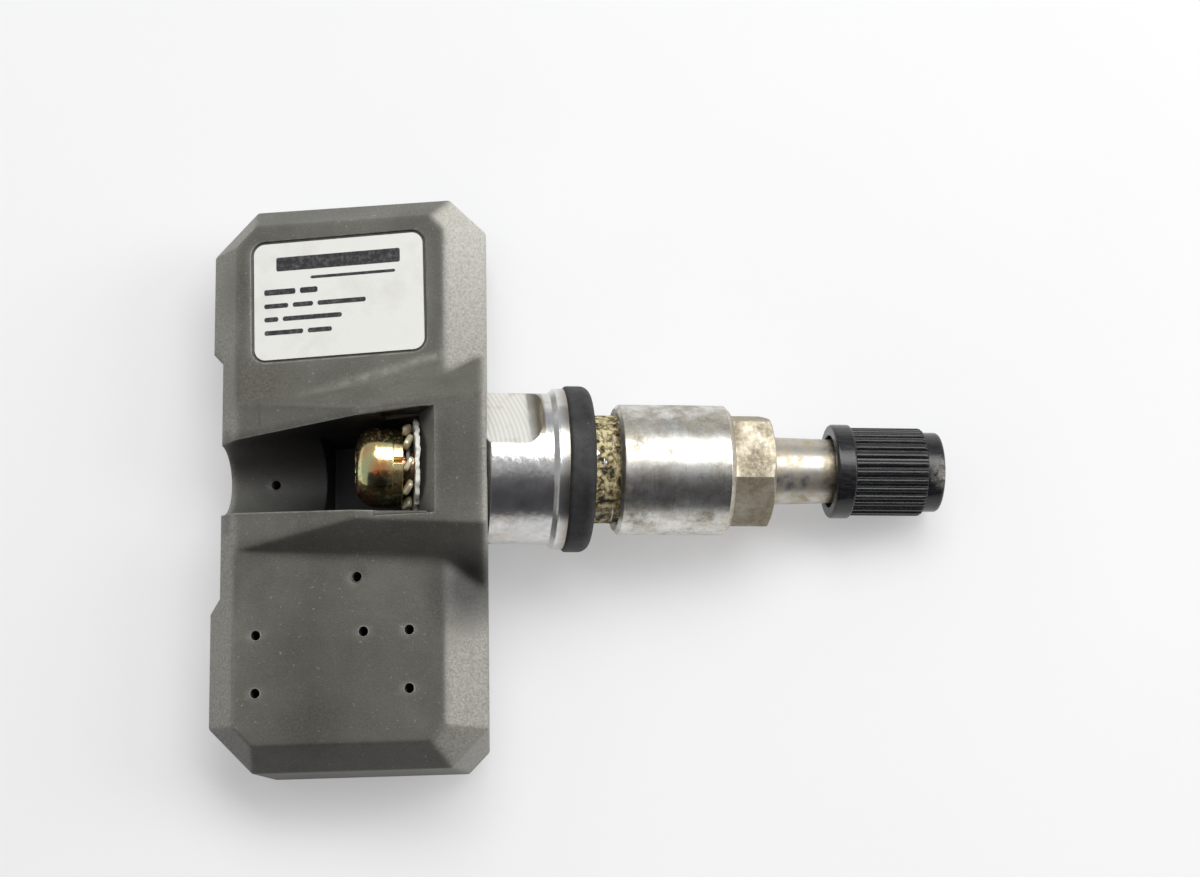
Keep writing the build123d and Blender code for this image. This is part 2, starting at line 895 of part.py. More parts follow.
def tilt_to_touch(along, radius):
    """Angle that lays the cover's far edge and one ring of the stem on the floor."""
    lean = radians(stem_tilt)
    across = seat_x + along * cos(lean) - cover_left
    above = stem_height + cover_proud - along * sin(lean)
    return degrees(atan2(radius * cos(lean) - above, across - radius * sin(lean)))


rings = [
    (grommet_end - grommet_round, grommet_radius),
    (hex_start - collar_edge, collar_radius),
    (cap_start + flange_length, flange_radius),
    (cap_end - boss_length, rib_radius),
    (cap_end - cap_edge, boss_radius),
]
rest_tilt = max(tilt_to_touch(along, radius) for along, radius in rings)
lay_down = Rot(0, -rest_tilt, 0) * Pos(-cover_left, 0, cover_proud)


def assemble():
    """All pieces at rest on the floor, centred over the origin."""
    pieces = {make.__name__: lay_down * make() for make in housing_pieces}
    pieces.update({make.__name__: lay_down * stem_place * make() for make in stem_pieces})
    boxes = [piece.bounding_box() for piece in pieces.values()]
    middle_x = (min(box.min.X for box in boxes) + max(box.max.X for box in boxes)) / 2
    middle_y = (min(box.min.Y for box in boxes) + max(box.max.Y for box in boxes)) / 2
    lowest = min(box.min.Z for box in boxes)
    centre = Pos(-middle_x, -middle_y, -lowest)
    return {name: centre * piece for name, piece in pieces.items()}, centre


if __name__ == "__main__":
    os.makedirs("parts", exist_ok=True)
    finished, centre = assemble()
    for name, piece in finished.items():
        export_step(piece, os.path.join("parts", name + ".step"))
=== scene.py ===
"""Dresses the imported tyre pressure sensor: fine geometry, finishes, studio light and camera."""

from __future__ import annotations

import json
import logging
import math
import random
from dataclasses import dataclass
from enum import Enum
from typing import Union

import bmesh
import bpy
from mathutils import Matrix, Vector, noise

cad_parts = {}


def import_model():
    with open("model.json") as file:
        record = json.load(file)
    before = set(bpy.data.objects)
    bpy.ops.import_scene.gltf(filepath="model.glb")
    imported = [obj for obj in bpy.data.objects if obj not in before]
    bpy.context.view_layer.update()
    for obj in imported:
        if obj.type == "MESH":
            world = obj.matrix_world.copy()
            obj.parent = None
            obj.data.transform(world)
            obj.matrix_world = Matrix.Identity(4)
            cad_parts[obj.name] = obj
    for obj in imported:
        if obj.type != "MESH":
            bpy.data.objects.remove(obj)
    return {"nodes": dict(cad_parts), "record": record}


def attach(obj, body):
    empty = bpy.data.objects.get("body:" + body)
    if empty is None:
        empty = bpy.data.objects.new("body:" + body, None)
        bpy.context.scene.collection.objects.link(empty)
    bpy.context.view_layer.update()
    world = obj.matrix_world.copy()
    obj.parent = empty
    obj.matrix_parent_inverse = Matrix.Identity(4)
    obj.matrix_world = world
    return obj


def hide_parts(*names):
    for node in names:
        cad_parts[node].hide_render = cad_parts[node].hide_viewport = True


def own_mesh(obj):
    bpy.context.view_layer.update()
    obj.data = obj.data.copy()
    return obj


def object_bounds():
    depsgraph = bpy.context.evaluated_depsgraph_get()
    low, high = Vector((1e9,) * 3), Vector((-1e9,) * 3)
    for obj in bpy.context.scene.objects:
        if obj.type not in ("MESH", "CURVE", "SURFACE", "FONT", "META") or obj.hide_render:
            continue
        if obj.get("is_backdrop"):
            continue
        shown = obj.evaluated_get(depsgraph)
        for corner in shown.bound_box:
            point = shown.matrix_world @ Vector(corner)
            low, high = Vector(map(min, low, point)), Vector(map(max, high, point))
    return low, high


log = logging.getLogger("sensor")
logging.basicConfig(level=logging.INFO, format="%(name)s: %(message)s")

BMesh = bmesh.types.BMesh
Material = bpy.types.Material
Mesh = bpy.types.Mesh
Object = bpy.types.Object
Socket = bpy.types.NodeSocket
Colour = tuple[float, float, float]
Point = tuple[float, float, float]
Profile = list[tuple[float, float]]
Value = Union[Socket, float, tuple, Vector]

MM = 0.001
FULL_TURN = 2 * math.pi
ALONG, ACROSS, UP = Vector((1, 0, 0)), Vector((0, 1, 0)), Vector((0, 0, 1))
BASE_POINT = Vector((-11.2833, 20.0, -0.5))  # The base mount in the housing's frame
RIM_POINT = Vector((12.55, 0.0, 0.0))  # The rim hole in the stem's frame
HOLLOW_SAMPLES, EDGE_SAMPLES = 8, 6
EDGE_COSINES = (0.995, 0.86)  # Turn of the rounded normal where an edge begins, and where it is full
JOIN_GAP = 2e-6  # Vertices of a CAD node closer than this, in metres, are one
FLAT_COSINE = 0.99999  # Faces closer in direction than this belong to one flat


class Body(Enum):
    """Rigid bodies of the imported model."""

    SENSOR = "sensor_body"
    NUT = "collar_nut"
    SEAL = "cap_seal"
    CAP = "valve_cap"
    PIN = "core_pin"


class Axis(Enum):
    """Which of the object's own frames a mesh is made in."""

    HOUSING = "housing"
    STEM = "stem"


@dataclass(frozen=True)
class Frames:
    """The housing's and the stem's own frames, from millimetres into the row frame.

    Args:
        housing: origin in the middle of the housing's base, x to the stem, y to the label.
        stem: origin where the stem's head seats, x along the stem.
    """

    housing: Matrix
    stem: Matrix

    @staticmethod
    def _matrix(axes: tuple[Vector, Vector, Vector], mount: dict, known: Vector) -> Matrix:
        """Frame in which a mount lies at a known place.

        Args:
            axes: the frame's axes in the row frame.
            mount: the mount's entry in the record.
            known: the mount's place in the frame, in millimetres.

        Returns:
            The frame.
        """
        turn = Matrix(axes).transposed()
        place = (turn * MM).to_4x4()
        place.translation = Vector(mount["pos_m"]) - turn @ known * MM
        return place

    @classmethod
    def from_record(cls, record: dict) -> Frames:
        """Reads both frames from the record's mounts.

        Args:
            record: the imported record.

        Returns:
            The two frames.
        """
        mounts = {mount["name"]: mount for mount in record["mounts"]}
        base, rim = mounts["base"], mounts["rim_hole"]
        up, along = -Vector(base["axis"]), Vector(rim["axis"])
        housing = cls._matrix((ACROSS.cross(up), ACROSS, up), base, BASE_POINT)
        stem = cls._matrix((along, ACROSS, along.cross(ACROSS)), rim, RIM_POINT)
        return cls(housing, stem)


class Shader:
    """One material's node tree, built step by step."""

    def __init__(self, name: str) -> None:
        """Starts a material with a principled shader.

        Args:
            name: the material's name.
        """
        self.material = bpy.data.materials.new(name)
        self.material.use_nodes = True
        self.tree = self.material.node_tree
        self.bsdf = self.tree.nodes["Principled BSDF"]
        self._object = self.use("ShaderNodeTexCoord", "Object")

    def join(self, value: Value, socket: Socket) -> None:
        """Links a socket, or sets a plain value; a plain colour is opaque.

        Args:
            value: the socket or value.
            socket: the input that takes it.
        """
        if isinstance(value, bpy.types.NodeSocket):
            self.tree.links.new(value, socket)
        else:
            socket.default_value = (*value, 1.0) if socket.type == "RGBA" else value

    def use(self, kind: str, output: str | int, inputs: dict | None = None, **settings) -> Socket:
        """Adds a node.

        Args:
            kind: the node's type.
            output: which of its outputs is wanted.
            inputs: sockets or plain values for its inputs.
            settings: its properties.

        Returns:
            The output.
        """
        node = self.tree.nodes.new(kind)
        for key, value in settings.items():
            setattr(node, key, value)
        for key, value in (inputs or {}).items():
            self.join(value, node.inputs[key])
        return node.outputs[output]

    def set(self, **values: Value) -> None:
        """Sets inputs of the principled shader; underscores in names stand for spaces."""
        for key, value in values.items():
            self.join(value, self.bsdf.inputs[key.replace("_", " ")])

    def local(self, matrix: Matrix) -> Socket:
        """Object coordinates taken into a frame of the object.

        Args:
            matrix: the frame, from millimetres.

        Returns:
            The coordinates in millimetres.
        """
        back = matrix.inverted()
        inputs = {"Location": back.translation, "Rotation": back.to_euler(), "Scale": back.to_scale()}
        return self.use("ShaderNodeMapping", "Vector", {**inputs, "Vector": self._object}, vector_type="POINT")

    def stretch(self, vector: Socket, scale: Point) -> Socket:
        """Scales coordinates along each axis."""
        return self.use("ShaderNodeVectorMath", "Vector", {0: vector, 1: scale}, operation="MULTIPLY")

    def noise(self, vector: Socket, scale: float, detail: float = 3.0, rough: float = 0.55) -> Socket:
        """Cloudy noise around 0.5, with a number of clouds per millimetre, octaves and their falloff."""
        inputs = {"Vector": vector, "Scale": scale, "Detail": detail, "Roughness": rough}
        return self.use("ShaderNodeTexNoise", 0, inputs)

    def ramp(self, value: Socket, stops: list[tuple[float, Colour]]) -> Socket:
        """Colours along a value.

        Args:
            value: the value.
            stops: places along it and their colours.

        Returns:
            The colour.
        """
        node = self.tree.nodes.new("ShaderNodeValToRGB")
        elements = node.color_ramp.elements
        while len(elements) < len(stops):
            elements.new(1.0)
        for element, (place, colour) in zip(elements, stops):
            element.position = place
            element.color = (*colour, 1.0)
        self.join(value, node.inputs["Fac"])
        return node.outputs["Color"]

    def span(self, value: Value, low: float, high: float, to_low: float = 0.0, to_high: float = 1.0) -> Socket:
        """Takes one range of a value onto another, clamped."""
        limits = {"From Min": low, "From Max": high, "To Min": to_low, "To Max": to_high}
        return self.use("ShaderNodeMapRange", "Result", {"Value": value, **limits})

    def calc(self, operation: str, first: Value, second: Value = 0.0) -> Socket:
        """One step of arithmetic."""
        return self.use("ShaderNodeMath", "Value", {0: first, 1: second}, operation=operation)

    def times(self, first: Value, *others: Value) -> Value:
        """Product of several values.

        Args:
            first: the first of them.
            others: the rest.

        Returns:
            The product.
        """
        for other in others:
            first = self.calc("MULTIPLY", first, other)
        return first

    def plus(self, first: Value, *others: Value) -> Value:
        """Sum of several values.

        Args:
            first: the first of them.
            others: the rest.

        Returns:
            The sum.
        """
        for other in others:
            first = self.calc("ADD", first, other)
        return first

    def apart(self, value: Value, middle: float = 0.0) -> Socket:
        """How far a value lies from a middle."""
        return self.calc("ABSOLUTE", self.calc("SUBTRACT", value, middle))

    def mix(self, share: Value, first: Value, second: Value) -> Socket:
        """Blends two colours or normals."""
        return self.use("ShaderNodeMix", 2, {0: share, 6: first, 7: second}, data_type="RGBA")

    def part(self, vector: Socket, axis: str) -> Socket:
        """One coordinate of a vector."""
        return self.use("ShaderNodeSeparateXYZ", axis, {0: vector})

    def dot(self, first: Socket, second: Value) -> Socket:
        """Dot product of two vectors."""
        return self.use("ShaderNodeVectorMath", "Value", {0: first, 1: second}, operation="DOT_PRODUCT")

    def distance(self, vector: Socket, point: Point) -> Socket:
        """Distance from a point."""
        return self.use("ShaderNodeVectorMath", "Value", {0: vector, 1: point}, operation="DISTANCE")

    def near(self, vector: Socket, point: Point, reach: float) -> Socket:
        """1 about a point, falling to 0 at a distance."""
        return self.span(self.distance(vector, point), reach * 0.3, reach, 1.0, 0.0)

    def normal(self) -> Socket:
        """The surface's own normal."""
        return self.use("ShaderNodeNewGeometry", "Normal")

    def facing(self, direction: Vector, normal: Socket | None = None) -> Socket:
        """Cosine between the surface, or a given normal, and a direction of the object."""
        return self.dot(self.normal() if normal is None else normal, direction.normalized())

    def recess(self, reach: float) -> Socket:
        """Openness within a reach in millimetres: 1 on open faces, towards 0 in hollows."""
        return self.use("ShaderNodeAmbientOcclusion", "AO", {"Distance": reach * MM}, samples=HOLLOW_SAMPLES)

    def soft_edges(self, radius: float) -> tuple[Socket, Socket]:
        """Rounded normals at edges, and how far each point is turned by them.

        Args:
            radius: the rounding, in millimetres.

        Returns:
            The rounded normal, and a mask that is 0 on flats and grows on edges.
        """
        rounded_normal = self.use("ShaderNodeBevel", "Normal", {"Radius": radius * MM}, samples=EDGE_SAMPLES)
        return rounded_normal, self.span(self.dot(rounded_normal, self.normal()), *EDGE_COSINES)

    def bump(self, height: Value, depth: float, normal: Socket | None = None, strength: float = 1.0) -> Socket:
        """Normal of a height pattern.

        Args:
            height: the pattern, 0 to 1.
            depth: its full height in millimetres.
            normal: a normal to start from.
            strength: share of the effect.

        Returns:
            The bumped normal.
        """
        inputs = {"Strength": strength, "Distance": depth * MM, "Height": height}
        if normal is not None:
            inputs["Normal"] = normal
        return self.use("ShaderNodeBump", "Normal", inputs)


@dataclass(frozen=True)
class Finish:
    """What every finish has.

    Args:
        name: material name.
        frame: the frame that its pattern follows.
    """

    name: str
    frame: Matrix

    def build(self) -> Material:
        """Makes the material.

        Returns:
            The material.
        """
        shader = Shader(self.name)
        self.shade(shader, shader.local(self.frame))
        return shader.material

    def shade(self, s: Shader, at: Socket) -> None:
        """Sets the principled shader; each finish has its own way.

        Args:
            s: the shader.
            at: its coordinates in the frame, in millimetres.
        """
        raise NotImplementedError


@dataclass(frozen=True)
class MouldedPlastic(Finish):
    """Matt moulded plastic with fine grain, a dusty film, painted sheen on the sides and the lit bevel, painted
    shade on the slopes away from the light, pale worn edges and a channel darkened by dirt and painted shade.

    Args:
        dark: colour of the clean plastic.
        light: colour of its paler clouds.
        dust_and_sheen: colour of the dusty film, also used for the painted sheen on the faces turned along x
            and for the painted highlight along the ramp's crease.
        pale: colour of the bevel by the stem, a dusty film brightened by painted sheen where the light falls on
            it.
        worn: colour of scuffed edges.
        soil: colour of the brown smears.
        darkening: dark colour of the dirt in hollows, also used for the painted shade there, on the slopes away
            from the light and in the darker areas.
        wear: how strongly edges are worn.
        rounding: radius of the worn edges.
        softness: radius over which one slope turns into the next.
        channel_middle: y of the channel.
        rub_and_highlight_across: direction across the pale line along the ramp's crease, which is rubbed wear
            with a painted highlight.
        rub_and_highlight_at: distance of that line in that direction.
        smears: middles of the brown smears.
        shades: middle, reach and strength of the darker areas: a painted shadow below the ramp's right end,
            painted shade on the lower end bevel, and two plainly darker spots.
        crumbs: middle and reach of the crumbs round the pocket.
        blots: middle and reach of the brown blots.
    """

    dark: Colour = (0.112, 0.110, 0.092)
    light: Colour = (0.170, 0.167, 0.140)
    dust_and_sheen: Colour = (0.42, 0.41, 0.36)
    pale: Colour = (0.74, 0.72, 0.65)
    worn: Colour = (0.52, 0.51, 0.47)
    soil: Colour = (0.075, 0.062, 0.045)
    # Dark colour for dirt and for painted shade.
    darkening: Colour = (0.014, 0.014, 0.014)
    wear: float = 0.6
    rounding: float = 0.35
    softness: float = 1.7
    channel_middle: float = 0.2
    rub_and_highlight_across: Point = (-0.235, 0.972, 0.0)
    rub_and_highlight_at: float = 9.55
    smears: tuple[Point, ...] = (
        (-9.0, 10.5, 11.4),
        (-10.5, 21.0, 11.4),
        (8.5, 4.5, 15.6),
        (11.5, -14.0, 11.4),
        (-3.0, -25.5, 11.0),
    )
    shades: tuple[tuple[Point, float, float], ...] = (
        ((-2.0, -18.0, 11.4), 11.0, 0.24),
        ((13.8, -11.8, 10.6), 5.6, 0.85),
        ((11.0, 0.0, 15.6), 8.0, 0.20),
        ((0.0, -29.0, 9.5), 14.0, 0.22),
    )
    crumbs: tuple[Point, float] = ((3.0, 0.5, 14.0), 13.0)
    blots: tuple[Point, float] = ((-4.0, 3.0, 12.0), 14.0)

    def _dirt_and_shade_in_hollows(self, s: Shader, at: Socket) -> Socket:
        """Mask of dirt and painted shade in hollows, heaviest in the channel beside the screw.

        Args:
            s: the shader.
            at: its coordinates.

        Returns:
            The mask.
        """
        along, height = s.part(at, "X"), s.part(at, "Z")
        across = s.apart(s.part(at, "Y"), self.channel_middle)
        steep = s.span(s.facing(self.frame.to_3x3() @ UP), 0.5, 0.3)
        # Walls and floor of the channel, darker towards the screw: dirt and painted shade.
        walls = s.times(steep, s.span(across, 6.6, 6.3))
        floor = s.times(s.span(height, 11.3, 10.4), s.span(across, 5.8, 5.3))
        ends = s.times(s.span(along, -13.6, -12.6), s.span(along, 10.4, 10.2))
        inside = s.times(s.calc("MAXIMUM", walls, floor), ends, s.span(along, -12.5, -3.2, 0.35, 0.98))
        # Dirt and painted shade in recesses, from how open each point is.
        return s.calc("MAXIMUM", inside, s.span(s.recess(5.0), 0.70, 0.35, 0.0, 0.8))

    def _dusted_and_lit(self, s: Shader, at: Socket, fine: Socket, soft: Socket) -> Socket:
        """Clouded plastic with a dusty film and painted sheen on its sides, palest on the bevel by the stem,
        where the painted light is strongest.

        Args:
            s: the shader.
            at: its coordinates.
            fine: fine noise.
            soft: normal that turns softly from slope to slope.

        Returns:
            The colour.
        """
        colour = s.ramp(s.noise(at, 0.11, 6.0, 0.62), [(0.34, self.dark), (0.66, self.light)])
        streaks = s.noise(s.stretch(at, (0.5, 0.1, 0.5)), 0.8, 5.0, 0.65)
        colour = s.mix(s.span(streaks, 0.52, 0.80, 0.0, 0.4), colour, self.light)
        colour = s.mix(s.span(s.noise(at, 0.23, 5.0, 0.7), 0.60, 0.78, 0.0, 0.5), colour, self.soil)
        sideways = s.facing(self.frame.to_3x3() @ ALONG, soft)
        # Dusty film and painted sheen on the faces turned along x.
        dusty_sheen = s.times(s.span(s.apart(sideways), 0.25, 0.5), s.span(fine, 0.34, 0.64, 0.30, 0.80))
        colour = s.mix(dusty_sheen, colour, self.dust_and_sheen)
        colour = s.mix(s.span(s.noise(at, 2.3, 2.0, 0.7), 0.67, 0.73, 0.0, 0.55), colour, self.dust_and_sheen)
        # Painted sheen where the light falls on the bevel by the stem, over its dusty film, growing towards the
        # label.
        towards_label = s.span(s.part(at, "Y"), 10.5, 26.0, 0.10, 0.62)
        bevel = s.times(s.span(sideways, 0.25, 0.58), towards_label, s.span(fine, 0.30, 0.60, 0.62, 0.95))
        return s.mix(bevel, colour, self.pale)

    def _marked(self, s: Shader, at: Socket, fine: Socket, colour: Socket) -> Socket:
        """Adds the pale line along the ramp's crease, rubbed wear with a painted highlight, and brown smears,
        darker areas, crumbs and blots.

        Args:
            s: the shader.
            at: its coordinates.
            fine: fine noise.
            colour: the colour so far.

        Returns:
            The marked colour.
        """
        along = s.part(at, "X")
        # Pale line along the ramp's crease: rubbed wear with a painted highlight.
        rub_and_highlight = s.times(
            s.span(s.apart(s.dot(at, self.rub_and_highlight_across), self.rub_and_highlight_at), 0.75, 0.1),
            s.span(along, -7.0, 3.0),
            s.span(along, 13.5, 10.0),
            s.span(s.noise(at, 0.8, 4.0, 0.7), 0.36, 0.62, 0.1, 0.5),
        )
        colour = s.mix(rub_and_highlight, colour, self.dust_and_sheen)
        for spot in self.smears:
            share = s.times(s.near(at, spot, 5.0), s.span(fine, 0.40, 0.60, 0.05, 0.55))
            colour = s.mix(share, colour, self.soil)
        # Darker areas: a painted shadow below the ramp's right end, painted shade on the lower end bevel, and
        # two plainly darker spots.
        for spot, reach, share in self.shades:
            colour = s.mix(s.times(s.near(at, spot, reach), share), colour, self.darkening)
        crumbs = s.times(s.span(s.noise(at, 2.9, 3.0, 0.75), 0.62, 0.68, 0.0, 0.7), s.near(at, *self.crumbs))
        colour = s.mix(crumbs, colour, self.dust_and_sheen)
        blots = s.times(s.span(s.noise(at, 0.42, 6.0, 0.75), 0.56, 0.70, 0.0, 0.55), s.near(at, *self.blots))
        return s.mix(blots, colour, self.soil)

    def shade(self, s: Shader, at: Socket) -> None:
        """Sets the principled shader.

        Args:
            s: the shader.
            at: its coordinates.
        """
        grain, fine = s.noise(at, 6.0, 2.0, 0.5), s.noise(at, 3.4, 3.0, 0.7)
        soft, _ = s.soft_edges(self.softness)
        colour = self._marked(s, at, fine, self._dusted_and_lit(s, at, fine, soft))
        # Painted shade: slopes that face away from the light are darkened, most towards the left end.
        shaded = s.span(s.facing(self.frame.to_3x3() @ -ACROSS, soft), 0.04, 0.62)
        shaded = s.times(shaded, s.span(s.part(at, "X"), -8.0, 12.0, 0.34, 0.10))
        colour = s.mix(shaded, colour, self.darkening)
        colour = s.mix(s.span(grain, 0.3, 0.7, 0.0, 0.22), colour, self.darkening)
        normal, edge = s.soft_edges(self.rounding)
        side = s.apart(s.part(at, "Y"))
        ramp_sides = s.times(s.span(side, 7.2, 8.2), s.span(side, 15.5, 13.5))
        torn = s.span(s.noise(at, 0.9, 5.0, 0.75), 0.34, 0.60, self.wear * 0.17, self.wear)
        colour = s.mix(s.times(edge, torn), colour, self.worn)
        # Base colour takes the dirt and painted shade of the hollows.
        s.set(
            Base_Color=s.mix(self._dirt_and_shade_in_hollows(s, at), colour, self.darkening),
            Roughness=s.span(grain, 0.3, 0.7, 0.40, 0.58),
            Specular_IOR_Level=0.42,
            Normal=s.bump(s.plus(grain, s.times(fine, 0.8)), 0.035, s.mix(ramp_sides, normal, soft), 0.55),
        )


@dataclass(frozen=True)
class Paper(Finish):
    """Off-white label stock with faint smudges.

    Args:
        sheet: colour of the clean sheet.
        smudge: colour of the smudges.
    """

    sheet: Colour = (0.86, 0.86, 0.81)
    smudge: Colour = (0.62, 0.60, 0.53)

    def shade(self, s: Shader, at: Socket) -> None:
        """Sets the principled shader.

        Args:
            s: the shader.
            at: its coordinates.
        """
        fibre = s.noise(s.stretch(at, (1.0, 2.5, 1.0)), 3.0, 4.0, 0.6)
        dirt = s.span(s.noise(at, 0.22, 5.0, 0.65), 0.5, 0.82, 0.0, 0.5)
        s.set(
            Base_Color=s.mix(dirt, self.sheet, self.smudge),
            Roughness=s.span(fibre, 0.3, 0.7, 0.42, 0.55),
            Normal=s.bump(fibre, 0.008, strength=0.4),
        )


@dataclass(frozen=True)
class Ink(Finish):
    """Matt black print, slightly broken up.

    Args:
        ink: colour of full ink.
        thin: colour where it is thin.
    """

    ink: Colour = (0.018, 0.018, 0.020)
    thin: Colour = (0.12, 0.12, 0.12)

    def shade(self, s: Shader, at: Socket) -> None:
        """Sets the principled shader.

        Args:
            s: the shader.
            at: its coordinates.
        """
        gaps = s.noise(at, 2.2, 4.0, 0.7)
        colour = s.ramp(gaps, [(0.45, self.ink), (0.75, self.thin)])
        s.set(Base_Color=colour, Roughness=s.span(gaps, 0.3, 0.7, 0.38, 0.55))


@dataclass(frozen=True)
class TurnedAluminium(Finish):
    """Bright turned aluminium with fine tool rings, stains and pits.

    Args:
        metal: colour of the bright metal.
        dull: colour of the dulled metal.
        stain: colour of the brown-yellow stains.
        mottle: colour of the finer mottling.
        tarnish: colour of the hexagon's tarnish.
        pit: colour of the pits.
        stained: share of the surface that is stained, 0 to 1.
        hex_start: where the more tarnished hexagon begins.
        rings: depth of the tool rings in millimetres.
        polish: lowest roughness.
    """

    metal: Colour = (0.76, 0.755, 0.725)
    dull: Colour = (0.50, 0.48, 0.425)
    stain: Colour = (0.25, 0.205, 0.13)
    mottle: Colour = (0.46, 0.40, 0.29)
    tarnish: Colour = (0.60, 0.53, 0.36)
    pit: Colour = (0.09, 0.075, 0.05)
    stained: float = 0.3
    hex_start: float = 25.85
    rings: float = 0.009
    polish: float = 0.26

    def _stains(self, s: Shader, at: Socket, pits: Socket) -> Socket:
        """Mask of the stains, heavier on the side away from the viewer and on the hexagon.

        Args:
            s: the shader.
            at: its coordinates.
            pits: the noise that breaks the stains up.

        Returns:
            The mask.
        """
        reach = 0.5 + 0.35 * (0.5 - self.stained)
        hexagon = s.span(s.part(at, "X"), self.hex_start - 0.4, self.hex_start + 0.4, 0.0, 0.07)
        far_side = s.span(s.part(at, "Y"), 0.5, 5.5, 0.0, 0.07)
        clouds = s.plus(s.noise(at, 0.30, 6.0, 0.70), far_side, hexagon)
        return s.times(s.span(clouds, reach, reach + 0.16), s.span(pits, 0.33, 0.58, 0.35, 1.0))

    def shade(self, s: Shader, at: Socket) -> None:
        """Sets the principled shader.

        Args:
            s: the shader.
            at: its coordinates.
        """
        along = s.part(at, "X")
        tool = s.noise(s.stretch(at, (7.0, 0.25, 0.25)), 1.0, 4.0, 0.7)
        pits = s.noise(at, 2.6, 5.0, 0.75)
        colour = s.ramp(s.noise(at, 0.55, 6.0, 0.72), [(0.38, self.dull), (0.60, self.metal)])
        colour = s.mix(s.span(tool, 0.54, 0.72, 0.0, 0.5), colour, self.dull)
        hexagon = s.span(along, self.hex_start - 0.3, self.hex_start + 0.1, 0.0, 0.6)
        colour = s.mix(s.times(hexagon, s.span(pits, 0.35, 0.6, 0.6, 1.0)), colour, self.tarnish)
        ends = s.calc("MAXIMUM", s.span(along, 15.2, 13.7, 0.0, 0.10), s.span(along, 24.0, 25.7, 0.0, 0.12))
        mottle = s.plus(s.noise(s.stretch(at, (0.8, 1.3, 1.3)), 1.1, 6.0, 0.78), ends)
        colour = s.mix(s.span(mottle, 0.53, 0.70, 0.0, 0.75), colour, self.mottle)
        stains = self._stains(s, at, pits)
        colour = s.mix(s.times(stains, 0.85), colour, self.stain)
        colour = s.mix(s.span(pits, 0.70, 0.76, 0.0, 0.75), colour, self.pit)
        normal, edge = s.soft_edges(0.15)
        shine = s.span(tool, 0.3, 0.7, self.polish, self.polish + 0.10)
        s.set(
            Metallic=s.span(stains, 0.2, 1.0, 1.0, 0.6),
            Base_Color=s.mix(s.times(edge, 0.5), colour, self.metal),
            Roughness=s.plus(shine, s.times(stains, 0.22), s.times(hexagon, 0.3)),
            Normal=s.bump(s.plus(s.times(tool, 0.8), s.times(pits, 0.35)), self.rings, normal, 0.5),
        )


